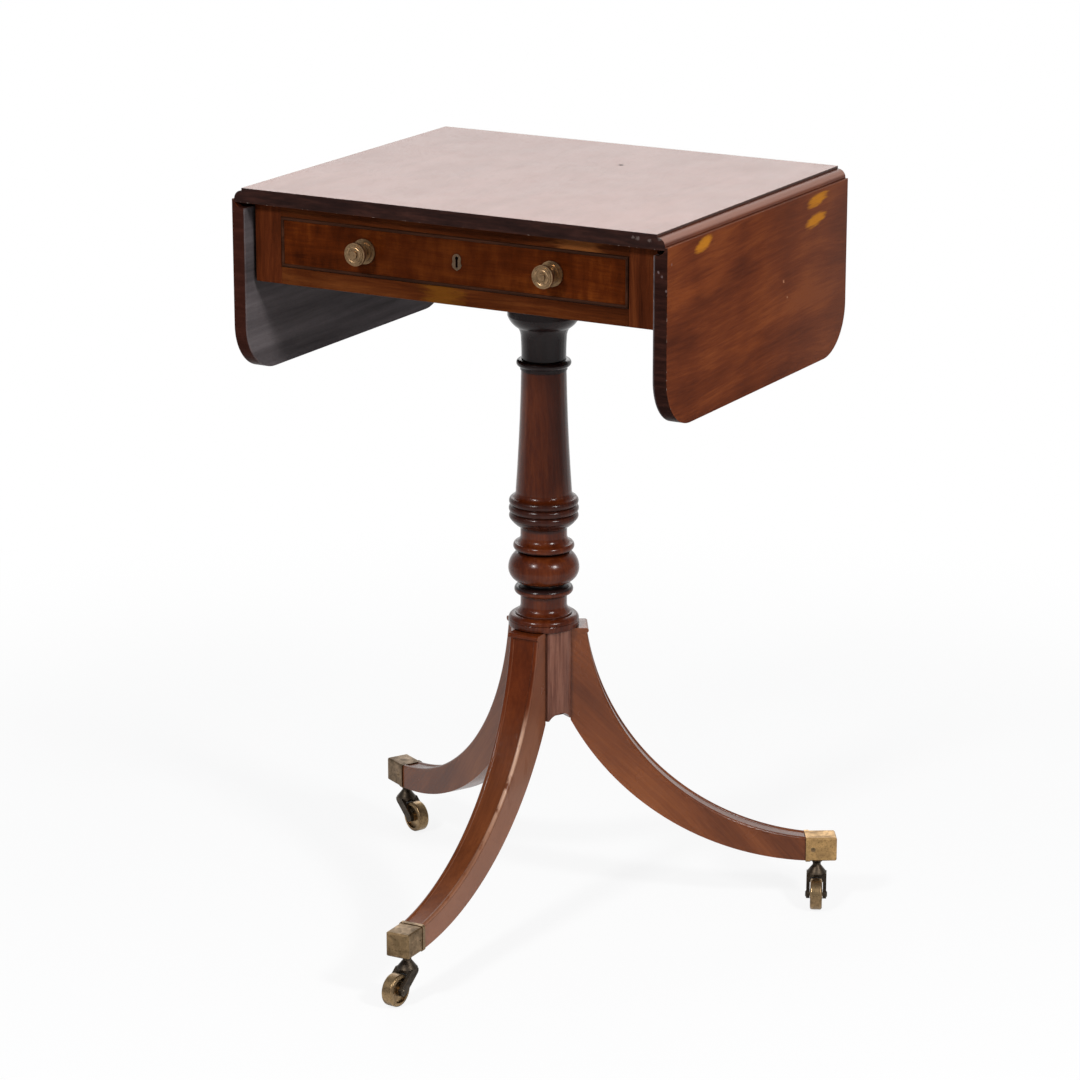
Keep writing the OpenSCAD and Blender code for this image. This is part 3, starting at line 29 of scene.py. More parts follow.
# Materials: short calls for one material's nodes
class Paint:
    def __init__(self, name):
        self.mat = bpy.data.materials.new(name)
        self.mat.use_nodes = True
        self.tree = self.mat.node_tree
        self.shader = self.tree.nodes["Principled BSDF"]
        # A tint may set this to a mask of places without polish
        self.dull = None

    def put(self, socket, value):
        if isinstance(value, bpy.types.NodeSocket):
            self.tree.links.new(value, socket)
        elif socket.type == "RGBA" and not isinstance(value, (int, float)):
            socket.default_value = (*value, 1)
        else:
            socket.default_value = value

    def add(self, kind, inputs=(), **settings):
        node = self.tree.nodes.new("ShaderNode" + kind)
        for key, value in settings.items():
            setattr(node, key, value)
        for key, value in dict(inputs).items():
            self.put(node.inputs[key], value)
        return node

    # Numbers
    def math(self, op, a, b=0.0):
        return self.add("Math", {0: a, 1: b}, operation=op).outputs[0]

    def product(self, *values):
        result = values[0]
        for value in values[1:]:
            result = self.math("MULTIPLY", result, value)
        return result

    def sum(self, *values):
        result = values[0]
        for value in values[1:]:
            result = self.math("ADD", result, value)
        return result

    def less(self, a, b):
        return self.math("SUBTRACT", a, b)

    def absolute(self, a):
        return self.math("ABSOLUTE", a)

    def span(self, value, low, high, out_low=0.0, out_high=1.0, smooth=False):
        node = self.add("MapRange", {0: value, 1: low, 2: high, 3: out_low, 4: out_high})
        node.interpolation_type = "SMOOTHSTEP" if smooth else "LINEAR"
        return node.outputs[0]

    def fall(self, value, low, high):
        return self.span(value, low, high, 1, 0)

    # Vectors and places
    def times(self, vector, scale):
        return self.add("VectorMath", {0: vector, 1: scale}, operation="MULTIPLY").outputs[0]

    def plus(self, vector, other):
        return self.add("VectorMath", {0: vector, 1: other}, operation="ADD").outputs[0]

    def axes(self, vector):
        return self.add("SeparateXYZ", {0: vector}).outputs

    def place(self):
        return self.add("TexCoord").outputs["Object"]

    def slant(self, axis):
        return self.axes(self.add("TexCoord").outputs["Normal"])[axis]

    def facing(self, axis):
        return self.absolute(self.slant(axis))

    def corners(self, reach):
        return self.add("AmbientOcclusion", {"Distance": reach}, samples=6).outputs["AO"]

    def edges(self, reach):
        bevel = self.add("Bevel", {"Radius": reach}, samples=6).outputs[0]
        normal = self.add("NewGeometry").outputs["Normal"]
        dot = self.add("VectorMath", {0: bevel, 1: normal}, operation="DOT_PRODUCT").outputs["Value"]
        return self.span(dot, 0.998, 0.86)

    # Colours and textures
    def mix(self, factor, a, b, blend="MIX"):
        node = self.add("Mix", {0: factor, 6: a, 7: b}, data_type="RGBA", blend_type=blend)
        return node.outputs[2]

    def noise(self, vector, scale, detail=2.0, rough=0.5, distortion=0.0):
        node = self.add("TexNoise", {"Vector": vector, "Scale": scale, "Detail": detail,
                                     "Roughness": rough, "Distortion": distortion})
        return node.outputs["Fac"]

    def long_noise(self, stretch, scale, detail, rough):
        return self.noise(self.times(self.place(), stretch), scale, detail, rough)

    def ramp(self, value, stops):
        node = self.add("ValToRGB", {0: value})
        band = node.color_ramp
        while len(band.elements) < len(stops):
            band.elements.new(0.5)
        for element, (place, colour) in zip(band.elements, stops):
            element.position = place
            element.color = (*colour, 1)
        return node.outputs[0]

    def bump(self, height, distance, strength):
        return self.add("Bump", {"Height": height, "Distance": distance, "Strength": strength}).outputs[0]

    def finish(self, **inputs):
        for key, value in inputs.items():
            self.put(self.shader.inputs[key.replace("_", " ")], value)
        return self.mat


# Place along a piece's grain, with Z along the grain; the seed moves the figure
def grain_place(paint, direction, seed):
    turn = Vector(direction).normalized().rotation_difference(Vector((0, 0, 1))).to_euler()
    shift = (seed * 1.7, seed * 2.3, seed * 0.9)
    node = paint.add("Mapping", {"Vector": paint.place(), "Location": shift, "Rotation": tuple(turn)})
    return node.outputs[0]


# Wood figure: a tone from 0 to 1 made of bands, streaks, fibres and clouds, and the pores
band_share = 0.42
streak_share = 0.26
fibre_share = 0.12
cloud_share = 0.32


def wood_figure(paint, grain, ribbon, lines, stretch, broad, spread):
    slow = paint.times(grain, (1, 1, 0.35))
    sway = paint.add("TexNoise", {"Vector": slow, "Scale": 7, "Detail": 2}).outputs["Color"]
    sway = paint.times(paint.plus(sway, (-0.5, -0.5, -0.5)), (0.05, 0.05, 0.0))
    swayed = paint.plus(grain, sway)
    bands = paint.noise(paint.times(swayed, (1, 1, stretch)), broad, 3, 0.55)
    streaks = paint.noise(paint.times(swayed, (1, 1, stretch * 0.5)), 380, 2, 0.6)
    fibres = paint.noise(paint.times(swayed, (1, 1, 0.03)), 1500, 1)
    clouds = paint.noise(grain, 11, 2)
    tone = paint.sum(paint.product(bands, band_share * lines), paint.product(streaks, streak_share * lines),
                     paint.product(fibres, fibre_share * lines), paint.product(clouds, cloud_share))
    total = (band_share + streak_share + fibre_share) * lines + cloud_share
    if ribbon:
        across = paint.noise(paint.times(swayed, (0.35, 0.35, 1)), 95, 3, 0.6)
        tone = paint.sum(tone, paint.product(across, ribbon))
        total += ribbon
    tone = paint.span(tone, total * (0.5 - spread), total * (0.5 + spread))
    pores = paint.span(paint.noise(paint.times(swayed, (1, 1, 0.07)), 2600, 0), 0.66, 0.76)
    return tone, pores, clouds


# Polished wood: grain, a tint of its own, pale edges that are wear and on the legs also a painted
# highlight, chips, and painted shade in the corners
# A tint is a function of the paint, the colour so far and the clouds, and gives the new colour
pale_edge_r = 0.9 * mm
shade_reach = 5 * mm
bare_wood = (0.34, 0.27, 0.23)
wood_relief = 0.04 * mm


def wood(name, direction, colours, seed, ribbon=0.0, lines=1.0, stretch=0.06, rough=0.24, corner_shade=0.6,
         wear_and_highlight=0.2, chips=0.0, specular=0.05, tint=None, broad=75, spread=0.13, smudges=0.13, deep=0.25):
    paint = Paint(name)
    grain = grain_place(paint, direction, seed)
    tone, pores, clouds = wood_figure(paint, grain, ribbon, lines, stretch, broad, spread)
    darkest, palest = colours[0], colours[-1]
    colour = paint.ramp(tone, [(i / (len(colours) - 1), c) for i, c in enumerate(colours)])
    if tint:
        colour = tint(paint, colour, clouds)
    colour = paint.mix(paint.product(pores, deep), colour, shade(darkest, 0.45))
    # Pale edges: wear, and where set high, as on the legs, partly a painted highlight
    edge = paint.edges(pale_edge_r)
    edge_patches = paint.span(paint.noise(grain, 160, 3, 0.6), 0.42, 0.62)
    colour = paint.mix(paint.product(edge, edge_patches, wear_and_highlight), colour, shade(palest, 1.8, 0.01))
    if chips:
        flecks = paint.span(paint.noise(paint.plus(grain, (0.3, 0.1, 0.2)), 330), 0.64, 0.68)
        colour = paint.mix(paint.product(edge, flecks, chips), colour, bare_wood)
    # Painted shade: darker in corners and crevices, found by occlusion
    crevice = paint.fall(paint.corners(shade_reach), 0.35, 0.85)
    colour = paint.mix(paint.product(crevice, corner_shade), colour, shade(darkest, 0.22))
    smudge = paint.noise(grain, 34, 3, 0.6)
    roughness = paint.span(smudge, 0.3, 0.7, rough - smudges * 0.4, rough + smudges * 0.6)
    if paint.dull:
        roughness = paint.math("MAXIMUM", roughness, paint.product(paint.dull, 0.95))
    normal = paint.bump(paint.less(tone, pores), wood_relief, 0.5)
    return paint.finish(Base_Color=colour, Roughness=roughness, Normal=normal, Specular_IOR_Level=specular)


# Aged metal: light and dark blotches, stains, brighter edges, dark corners and fine scratches
rubbed_edge_r = 0.7 * mm
stain_reach = 3 * mm
metal_relief = 0.06 * mm


def metal(name, light, dark, stain, seed, rough):
    paint = Paint(name)
    place = paint.plus(paint.place(), (seed * 0.31, seed * 0.17, seed * 0.23))
    blotch = paint.span(paint.noise(place, 90, 4, 0.62, 0.4), 0.36, 0.66)
    specks = paint.span(paint.noise(place, 620, 3, 0.6), 0.52, 0.70)
    colour = paint.mix(blotch, light, dark)
    colour = paint.mix(paint.product(specks, 0.6), colour, stain)
    edge = paint.edges(rubbed_edge_r)
    colour = paint.mix(paint.product(edge, 0.45), colour, shade(light, 1.35, 0.03))
    crevice = paint.fall(paint.corners(stain_reach), 0.35, 0.85)
    colour = paint.mix(paint.product(crevice, 0.8), colour, shade(stain, 0.35))
    roughness = paint.span(blotch, 0, 1, rough - 0.06, rough + 0.16)
    scratches = paint.noise(paint.times(place, (1, 0.3, 1)), 1400)
    height = paint.sum(paint.product(specks, -0.5), paint.product(scratches, 0.2))
    normal = paint.bump(height, metal_relief, 0.6)
    return paint.finish(Base_Color=colour, Roughness=roughness, Metallic=1.0, Normal=normal)


# Wood tones, from dark to pale
oak_tones = [(0.20, 0.125, 0.06), (0.32, 0.21, 0.11), (0.42, 0.29, 0.16)]
leaf_tones = [(0.058, 0.0115, 0.0033), (0.102, 0.0215, 0.0055), (0.160, 0.039, 0.0095)]
front_tones = [(0.024, 0.0042, 0.0008), (0.060, 0.0108, 0.0016), (0.125, 0.0285, 0.0040)]
rail_tones = [(0.026, 0.0055, 0.0014), (0.058, 0.0130, 0.0030), (0.102, 0.0285, 0.0066)]
post_tones = [(0.028, 0.006, 0.002), (0.066, 0.014, 0.004), (0.120, 0.030, 0.008)]
shaft_tones = [(0.022, 0.0036, 0.0010), (0.058, 0.0098, 0.0022), (0.114, 0.0245, 0.0058)]
leg_tones = [(0.060, 0.014, 0.004), (0.128, 0.034, 0.0095), (0.210, 0.064, 0.018)]
dark_tones = [(0.012, 0.004, 0.003), (0.028, 0.009, 0.005), (0.048, 0.016, 0.009)]
bead_tones = [(0.014, 0.005, 0.0025), (0.028, 0.010, 0.005), (0.052, 0.019, 0.010)]
edge_tones = [(0.010, 0.0040, 0.0032), (0.018, 0.0068, 0.0052), (0.034, 0.0125, 0.009)]
inner_grey_and_sheen_tones = [(0.044, 0.038, 0.039), (0.078, 0.067, 0.069), (0.118, 0.103, 0.105)]


# Three tones laid over the middle of a noise
def toned(paint, noise, tones):
    return paint.ramp(noise, list(zip((0.3, 0.5, 0.72), tones)))


def dark_edge(paint, colour, mask):
    dark = toned(paint, paint.long_noise((0.12, 0.12, 0.8), 300, 3, 0.6), edge_tones)
    return paint.mix(mask, colour, dark)


# Small marks with ragged outlines at given places; each is x, y, z and radius in millimetres
mark_solid_part = 0.3
mark_raggedness = 1.6


def marks(paint, colour, places, tone, strength):
    blur = paint.less(paint.noise(paint.place(), 700, 2, 0.6), 0.5)
    for x, y, z, r in places:
        centre = (x * mm, y * mm, z * mm)
        away = paint.add("VectorMath", {0: paint.place(), 1: centre}, operation="DISTANCE").outputs["Value"]
        away = paint.sum(away, paint.product(blur, r * mark_raggedness * mm))
        mask = paint.span(away, r * mark_solid_part * mm, r * mm, strength, 0, smooth=True)
        colour = paint.mix(mask, colour, tone)
    return colour


# Top: upper face faded, with one dark spot; rule joints' rounds lighter as a painted reflection, their
# steps and the ends dark
top_z = 714 * mm
spot_x = 34.6 * mm
spot_y = 85.1 * mm
spot_solid_r = 1.8 * mm
spot_edge_r = 3.0 * mm
round_x = 203.5 * mm
round_low_z = 705.5 * mm
round_high_z = 710.6 * mm
step_x = 211.5 * mm
step_low_z = 711.3 * mm
faded_tones = [(0.252, 0.100, 0.066), (0.285, 0.119, 0.083)]
top_marks = [(193.3, -181, 708.8, 2.6), (189, -181, 709.3, 2.0), (205, -181, 708, 2.2),
             (214.5, -181, 710.5, 2.2)]


def top_tint(paint, colour, clouds):
    x, y, z = paint.axes(paint.place())
    out = paint.absolute(x)
    upper = paint.span(z, top_z - 0.6 * mm, top_z - 0.2 * mm)
    mottle = paint.span(paint.sum(paint.long_noise((1, 0.3, 1), 42, 3, 0.6), clouds), 0.85, 1.15)
    colour = paint.mix(paint.product(upper, 0.85), colour, paint.mix(mottle, *faded_tones))
    dx = paint.less(x, spot_x)
    dy = paint.less(y, spot_y)
    away = paint.sum(paint.product(dx, dx), paint.product(dy, dy))
    paint.dull = paint.fall(away, spot_solid_r ** 2, spot_edge_r ** 2)
    colour = paint.mix(paint.product(paint.dull, 0.95), colour, (0.012, 0.007, 0.006))
    # Painted reflection: the rule joints' quarter rounds made paler and pinker
    high_end = paint.fall(z, round_high_z, round_high_z + 0.6 * mm)
    low_end = paint.span(z, round_low_z, round_low_z + 2 * mm)
    round_sheen = paint.product(high_end, low_end, paint.span(out, round_x, round_x + mm))
    colour = paint.mix(paint.product(round_sheen, 0.75), colour, (0.31, 0.165, 0.125))
    step = paint.product(paint.span(out, step_x, step_x + 0.3 * mm), paint.facing(0),
                         paint.span(z, step_low_z, step_low_z + 0.4 * mm))
    colour = paint.mix(paint.product(step, 0.8), colour, (0.03, 0.012, 0.009))
    colour = dark_edge(paint, colour, paint.span(paint.facing(1), 0.45, 0.7))
    return marks(paint, colour, top_marks, (0.11, 0.085, 0.075), 0.6)


# Leaves: polished outside, greyer towards the back as a painted sheen; dull inside, grey partly as the bare
# underside and partly as a painted sheen; edges dark; depth is 0 at the outer face and negative behind it
leaf_out = 222.5 * mm
inner_face_depth = -12.9 * mm
inner_top_z = 694 * mm
edge_top_z = 700.5 * mm
lip_z = 702.2 * mm
lip_depth = -6 * mm
leaf_marks = [(213.2, -181, 701, 1.6), (213.9, -181, 681.1, 1.5), (217.3, -181, 677.5, 1.4),
              (221.5, -181, 665.5, 1.4), (222.5, -173.1, 687.3, 1.5)]
leaf_specks = [(222.5, 47.4, 630.6, 1.9), (222.5, 55.5, 614.5, 1.4)]

# Old stains on the right leaf: middle y and z, half length and half height, in millimetres
stains = [(-113, 694, 17, 6.5), (117, 694.5, 24, 5.5), (113, 676, 21, 6)]
stain_tilt = 0.45
stain_raggedness = 2.4
stain_tone = (0.41, 0.155, 0.010)


def stained(paint, colour, y, z, depth):
    ragged = paint.product(paint.less(paint.long_noise((1, 0.10, 1), 300, 3, 0.7), 0.5), stain_raggedness)
    outer = paint.span(depth, -2 * mm, -0.6 * mm)
    for middle_y, middle_z, half_y, half_z in stains:
        dy = paint.math("DIVIDE", paint.less(y, middle_y * mm), half_y * mm)
        dz = paint.math("DIVIDE", paint.less(z, middle_z * mm), half_z * mm)
        dz = paint.less(dz, paint.product(dy, stain_tilt))
        reach = paint.sum(paint.product(dy, dy), paint.product(dz, dz), ragged)
        spot = paint.product(paint.span(reach, 0.2, 1.35, 1, 0, smooth=True), outer)
        colour = paint.mix(paint.product(spot, 0.85), colour, stain_tone)
    return marks(paint, colour, leaf_specks, (0.42, 0.19, 0.10), 0.8)


def leaf_tint(side):
    def tint(paint, colour, clouds):
        x, y, z = paint.axes(paint.place())
        depth = paint.less(paint.product(x, side), leaf_out)
        # Painted sheen: the face made greyer towards the back edge, y from 0 to 180 mm
        colour = paint.mix(paint.span(y, 0, 180 * mm, 0, 0.4), colour, (0.125, 0.050, 0.033))
        if side > 0:
            glow = paint.span(paint.long_noise((1, 0.22, 1), 34, 3, 0.6), 0.58, 0.74, 0, 0.5)
            glow = paint.product(glow, paint.span(y, -20 * mm, 100 * mm, 1, 0.3))
            colour = paint.mix(glow, colour, (0.20, 0.047, 0.010))
            colour = stained(paint, colour, y, z, depth)
        rim = paint.fall(paint.facing(0), 0.4, 0.75)
        rim = paint.product(rim, paint.fall(z, edge_top_z, edge_top_z + mm))
        edge = paint.math("MAXIMUM", rim, paint.span(paint.facing(1), 0.7, 0.9))
        colour = dark_edge(paint, colour, edge)
        if side > 0:
            colour = marks(paint, colour, leaf_marks, (0.16, 0.115, 0.11), 0.6)
        else:
            colour = paint.mix(paint.product(edge, 0.3), colour, (0.055, 0.014, 0.008))
        lip = paint.span(z, lip_z, lip_z + 0.6 * mm)
        lip = paint.product(lip, paint.span(depth, lip_depth, lip_depth + mm))
        colour = paint.mix(paint.product(lip, 0.25), colour, (0.26, 0.14, 0.11))
        # Inside face: dull grey, partly the unpolished underside and partly a painted sheen
        inside = paint.product(paint.fall(depth, inner_face_depth, inner_face_depth + mm),
                               paint.fall(z, inner_top_z, inner_top_z + 4 * mm))
        dull = toned(paint, paint.long_noise((1, 0.05, 1), 60, 4, 0.6), inner_grey_and_sheen_tones)
        return paint.mix(inside, colour, dull)
    return tint


# Front rails: each has one lighter patch; its middle and half width are in x
def rail_tint(middle, half_width, tone, strength):
    def tint(paint, colour, clouds):
        x = paint.axes(paint.place())[0]
        away = paint.absolute(paint.math("DIVIDE", paint.less(x, middle), half_width))
        smear = paint.less(paint.long_noise((0.25, 1, 1), 240, 3, 0.6), 0.5)
        away = paint.sum(away, paint.product(smear, 1.6))
        return paint.mix(paint.span(away, 0.3, 1.25, strength, 0, smooth=True), colour, tone)
    return tint


# Drawer front: darker towards a place left of its middle
def front_tint(paint, colour, clouds):
    away = paint.absolute(paint.sum(paint.axes(paint.place())[0], 10 * mm))
    near = paint.span(away, 30 * mm, 130 * mm, 0.5, 0, smooth=True)
    return paint.mix(near, colour, (0.028, 0.0052, 0.0012))


# Pillar: blackened rings, each with its low and high z in millimetres and its strength, and a paler block
black_bands = [(321.8, 328.5, 0.92), (358.8, 361.2, 0.92), (379, 410, 0.55), (532, 603, 0.92)]
band_edge = 0.6 * mm
block_top_z = 284.5 * mm
block_tones = [(0.105, 0.038, 0.024), (0.215, 0.092, 0.060)]


def pillar_tint(paint, colour, clouds):
    z = paint.axes(paint.place())[2]
    height = paint.sum(z, paint.product(paint.less(clouds, 0.5), 4 * mm))
    for low, high, strength in black_bands:
        above = paint.span(height, low * mm - band_edge, low * mm + band_edge)
        below = paint.fall(height, high * mm - band_edge, high * mm + band_edge)
        colour = paint.mix(paint.product(above, below, strength), colour, (0.009, 0.005, 0.005))
    block = paint.span(z, block_top_z, block_top_z + mm, 0.8, 0)
    streaks = paint.span(paint.long_noise((1, 1, 0.05), 330, 3, 0.65), 0.36, 0.64)
    return paint.mix(block, colour, paint.mix(streaks, *block_tones))


# Front leg: painted shade at the head, darker and warmer; its right side painted paler as if lit; a painted
# highlight along its right bead
leg_head_r = 41 * mm
leg_toe_r = 264 * mm
leg_head_half = 15.25 * mm
leg_toe_half = 11 * mm
leg_turn = 1.3


def front_leg_tint(paint, colour, clouds):
    x, y, z = paint.axes(paint.place())
    # Painted shade: the head darker and warmer, above 130 mm
    shaded_head = paint.mix(1.0, colour, (0.72, 0.50, 0.36), "MULTIPLY")
    colour = paint.mix(paint.span(z, 130 * mm, 240 * mm, 0, 1, smooth=True), colour, shaded_head)
    # Painted light: the right side paler, most near the toe
    lit_side_tone = paint.mix(clouds, (0.20, 0.080, 0.044), (0.33, 0.155, 0.095))
    side = paint.span(paint.slant(0), 0.6, 0.9)
    side = paint.product(side, paint.span(z, 60 * mm, 200 * mm, 0.75, 0.35, smooth=True))
    colour = paint.mix(side, colour, lit_side_tone)
    # Painted highlight: a pale streak along the right bead, broken into patches
    half_width = paint.span(y, -leg_toe_r, -leg_head_r, leg_toe_half, leg_head_half)
    across = paint.sum(x, paint.product(y, math.tan(math.radians(leg_turn))))
    inward = paint.less(half_width, across)
    bead = paint.product(paint.span(inward, 0.2 * mm, 1.2 * mm), paint.fall(inward, 2.8 * mm, 4.6 * mm))
    height = paint.product(paint.span(z, 90 * mm, 160 * mm, 0.1, 0.6, smooth=True),
                           paint.span(z, 190 * mm, 222 * mm, 1, 0, smooth=True))
    highlight_breaks = paint.span(paint.long_noise((1, 1, 0.3), 90, 3, 0.6), 0.28, 0.45)
    return paint.mix(paint.product(bead, height, highlight_breaks), colour, (0.62, 0.39, 0.27))


# Metals: light, dark and stain colours, seed and roughness
# The caps are one brass; the right one's colours set lighter and the left one's darker as painted lighting
cap_brass = {
    "front": metal("front_cap_brass", (0.29, 0.19, 0.097), (0.145, 0.097, 0.050),
                   (0.058, 0.028, 0.013), 1, 0.42),
    "right": metal("right_cap_brass", (0.58, 0.355, 0.143), (0.32, 0.197, 0.087),
                   (0.100, 0.060, 0.025), 9, 0.40),
    "left": metal("left_cap_brass", (0.23, 0.152, 0.087), (0.12, 0.081, 0.045),
                  (0.052, 0.030, 0.015), 12, 0.44),
}
knob_mat = metal("knob_brass", (0.42, 0.262, 0.136), (0.170, 0.107, 0.056), (0.045, 0.026, 0.014), 6, 0.34)
plate_mat = metal("plate_brass", (0.19, 0.125, 0.078), (0.100, 0.064, 0.040), (0.040, 0.024, 0.015), 7, 0.4)
wheel_mat = metal("wheel_brass", (0.38, 0.255, 0.13), (0.17, 0.112, 0.060), (0.055, 0.033, 0.017), 2, 0.33)
dark_mat = metal("dark_brass", (0.085, 0.065, 0.045), (0.040, 0.031, 0.024), (0.018, 0.013, 0.010), 3, 0.42)
iron_mat = metal("dull_iron", (0.24, 0.225, 0.215), (0.105, 0.093, 0.087), (0.075, 0.036, 0.018), 4, 0.48)

# Woods: grain direction, tones and seed, then what differs from the usual polish
X, Y, Z = (1, 0, 0), (0, 1, 0), (0, 0, 1)
top_mat = wood("top_mahogany", Y, leaf_tones, 3, rough=0.25, tint=top_tint, chips=0.8, specular=0.10,
               smudges=0.03, deep=0.08, wear_and_highlight=0.1)
left_leaf_mat = wood("left_leaf_mahogany", Y, leaf_tones, 5, stretch=0.10, rough=0.3, tint=leaf_tint(-1),
                     chips=0.4, lines=0.7, broad=42, specular=0.01, smudges=0.04)
right_leaf_mat = wood("right_leaf_mahogany", Y, leaf_tones, 8, stretch=0.12, rough=0.3, tint=leaf_tint(1),
                      chips=0.7, lines=0.7, broad=42, specular=0.01, spread=0.115, smudges=0.04)
front_mat = wood("figured_front", X, front_tones, 11, ribbon=0.5, stretch=0.08, rough=0.3, specular=0.02,
                 tint=front_tint)
top_rail_mat = wood("top_rail_mahogany", X, rail_tones, 13, stretch=0.08, rough=0.3, specular=0.02,
                    tint=rail_tint(128 * mm, 26 * mm, (0.23, 0.078, 0.020), 0.6))
rail_mat = wood("rail_mahogany", X, rail_tones, 14, stretch=0.08, rough=0.3, specular=0.02,
                tint=rail_tint(-8.5 * mm, 21 * mm, (0.15, 0.055, 0.005), 0.5))
back_rail_mat = wood("back_rail_mahogany", X, rail_tones, 15, stretch=0.08, rough=0.35, specular=0.02)
post_mat = wood("post_mahogany", Z, post_tones, 17, stretch=0.10, rough=0.3, specular=0.02)
pillar_mat = wood("pillar_mahogany", Z, shaft_tones, 19, stretch=0.08, rough=0.19, tint=pillar_tint,
                  corner_shade=0.85, wear_and_highlight=0.1, specular=0.21, spread=0.18, smudges=0.06)
bearer_mat = wood("bearer_mahogany", X, dark_tones, 23, rough=0.4)
bead_mat = wood("dark_cockbead", X, bead_tones, 29, rough=0.4, specular=0.03)
oak_mat = wood("oak", Y, oak_tones, 31, rough=0.55, corner_shade=0.35, wear_and_highlight=0.1, specular=0.2)
side_mat = wood("side_rail_mahogany", Y, dark_tones, 37, rough=0.5)


# A leg's grain runs out and down, from its head to its toe
leg_run = 224 * mm
leg_drop = 240 * mm


def leg_mat(which, angle, seed, lighting_level, specular, tint):
    turn = math.radians(angle)
    along = (math.cos(turn) * leg_run, math.sin(turn) * leg_run, -leg_drop)
    # Each leg's tones made lighter or darker for the light on it: painted lighting
    tones = [shade(tone, lighting_level) for tone in leg_tones]
    # Edge wear set high on the legs, partly a painted highlight on their edges and beads
    return wood(which + "_leg_mahogany", along, tones, seed, stretch=0.08, rough=0.2, corner_shade=0.85, wear_and_highlight=0.45,
                specular=specular, lines=0.8, broad=48, spread=0.2, deep=0.15, tint=tint)


# Legs: direction in degrees, seed, lighting level (tones made lighter or darker for the light on each leg:
# painted lighting), specular level and tint
legs = {
    "front": (-90 + leg_turn, 41, 0.97, 0.14, front_leg_tint),
    "right": (30 + leg_turn, 43, 1.12, 0.27, None),
    "left": (150 + leg_turn, 47, 0.9, 0.25, None),
}
dress = {
    "top_board": top_mat, "left_leaf": left_leaf_mat, "right_leaf": right_leaf_mat,
    "front_top_rail": top_rail_mat, "front_bottom_rail": rail_mat, "back_rail": back_rail_mat,
    "drawer_front": front_mat, "drawer_cockbeads": bead_mat, "drawer_knobs": knob_mat,
    "keyhole_plate": plate_mat, "pillar": pillar_mat, "pillar_bearer": bearer_mat,
    "cap_screws": cap_brass["front"],
}
posts = ("front_left_post", "front_right_post", "back_left_post", "back_right_post")
for name in posts:
    dress[name] = post_mat
for name in ("drawer_runners", "drawer_kickers", "drawer_stops", "drawer_left_side",
             "drawer_right_side", "drawer_back", "drawer_bottom"):
    dress[name] = oak_mat
for name in ("hinge_pins", "hinge_fixed_flaps", "left_hinge_flaps", "right_hinge_flaps",
             "hinge_fixed_screws", "left_leaf_screws", "right_leaf_screws", "fly_bracket_pins",
             "fly_block_screws", "top_screws", "bearer_screws", "knob_nuts", "lock_case", "lock_bolt"):
    dress[name] = iron_mat
for side in ("left", "right"):
    for part in ("side_rail", "fly_blocks", "fly_bracket"):
        dress[side + "_" + part] = side_mat
for which, looks in legs.items():
    dress[which + "_leg"] = leg_mat(which, *looks)
    dress[which + "_toe_cap"] = cap_brass[which]
    dress[which + "_castor_fork"] = dark_mat
    dress[which + "_castor_axle"] = dark_mat
    dress[which + "_castor_wheel"] = wheel_mat
for name, piece in nodes.items():
    piece.data.materials.clear()
    piece.data.materials.append(dress[name])


# Rounded edges on the frieze's posts and two of its rails
def soften(name, width):
    piece = nodes[name]
    weld = piece.modifiers.new("weld", "WELD")
    weld.merge_threshold = 1e-6
    bevel = piece.modifiers.new("bevel", "BEVEL")
    bevel.width = width
    bevel.segments = 2
    bevel.limit_method = "ANGLE"
    bevel.angle_limit = math.radians(40)


for name in (*posts, "front_bottom_rail", "back_rail"):
    soften(name, 0.5 * mm)


# Puts a camera or lamp around its target and turns it there; azimuth 0 is in front of the drawer
def aim(item, azimuth, elevation, distance, target):
    turn, rise = math.radians(azimuth), math.radians(elevation)
    back = Vector((math.sin(turn) * math.cos(rise), -math.cos(turn) * math.cos(rise), math.sin(rise)))
    item.location = Vector(target) + back * distance
    item.rotation_euler = (math.pi / 2 - rise, 0, turn)


# Camera, fitted to the photograph
sensor_w = 36
photo_w = 1080
focal_in_pixels = 3942.4
cam_azimuth = 29.34
cam_elevation = 16.09
cam_distance = 3.7124
cam_target = (-4.1 * mm, 0, 366.7 * mm)
camera = bpy.data.objects.new("camera", bpy.data.cameras.new("camera"))
camera.data.sensor_width = sensor_w
camera.data.lens = focal_in_pixels * sensor_w / photo_w
camera.data.clip_end = 50
scene.collection.objects.link(camera)
aim(camera, cam_azimuth, cam_elevation, cam_distance, cam_target)
scene.camera = camera


# Studio: two soft boxes either side of the camera and a wide one behind the table
lamp_target = (0, 0, 400 * mm)


def soft_box(name, azimuth, elevation, distance, width, height, power):
    light = bpy.data.lights.new(name, "AREA")
    light.shape = "RECTANGLE"
    light.size = width
    light.size_y = height
    light.energy = power
    item = bpy.data.objects.new(name, light)
    scene.collection.objects.link(item)
    aim(item, azimuth, elevation, distance, lamp_target)


soft_box("left_box", cam_azimuth - 39, elevation=36, distance=2.6, width=0.34, height=0.34, power=38)
soft_box("right_box", cam_azimuth + 41, elevation=31, distance=2.6, width=0.34, height=0.34, power=42)
soft_box("back_box", cam_azimuth + 180, elevation=22, distance=3.4, width=3.4, height=0.95, power=20)


# White for camera and transmission rays, and for glossy rays as far as the toward value allows
def seen_white(tree, toward):
    path = tree.nodes.new("ShaderNodeLightPath")

    def join(op, a, b):
        node = tree.nodes.new("ShaderNodeMath")
        node.operation = op
        tree.links.new(a, node.inputs[0])
        tree.links.new(b, node.inputs[1])
        return node.outputs[0]

    glossy = join("MULTIPLY", path.outputs["Is Glossy Ray"], toward)
    most = join("MAXIMUM", path.outputs["Is Camera Ray"], glossy)
    return join("MAXIMUM", most, path.outputs["Is Transmission Ray"])


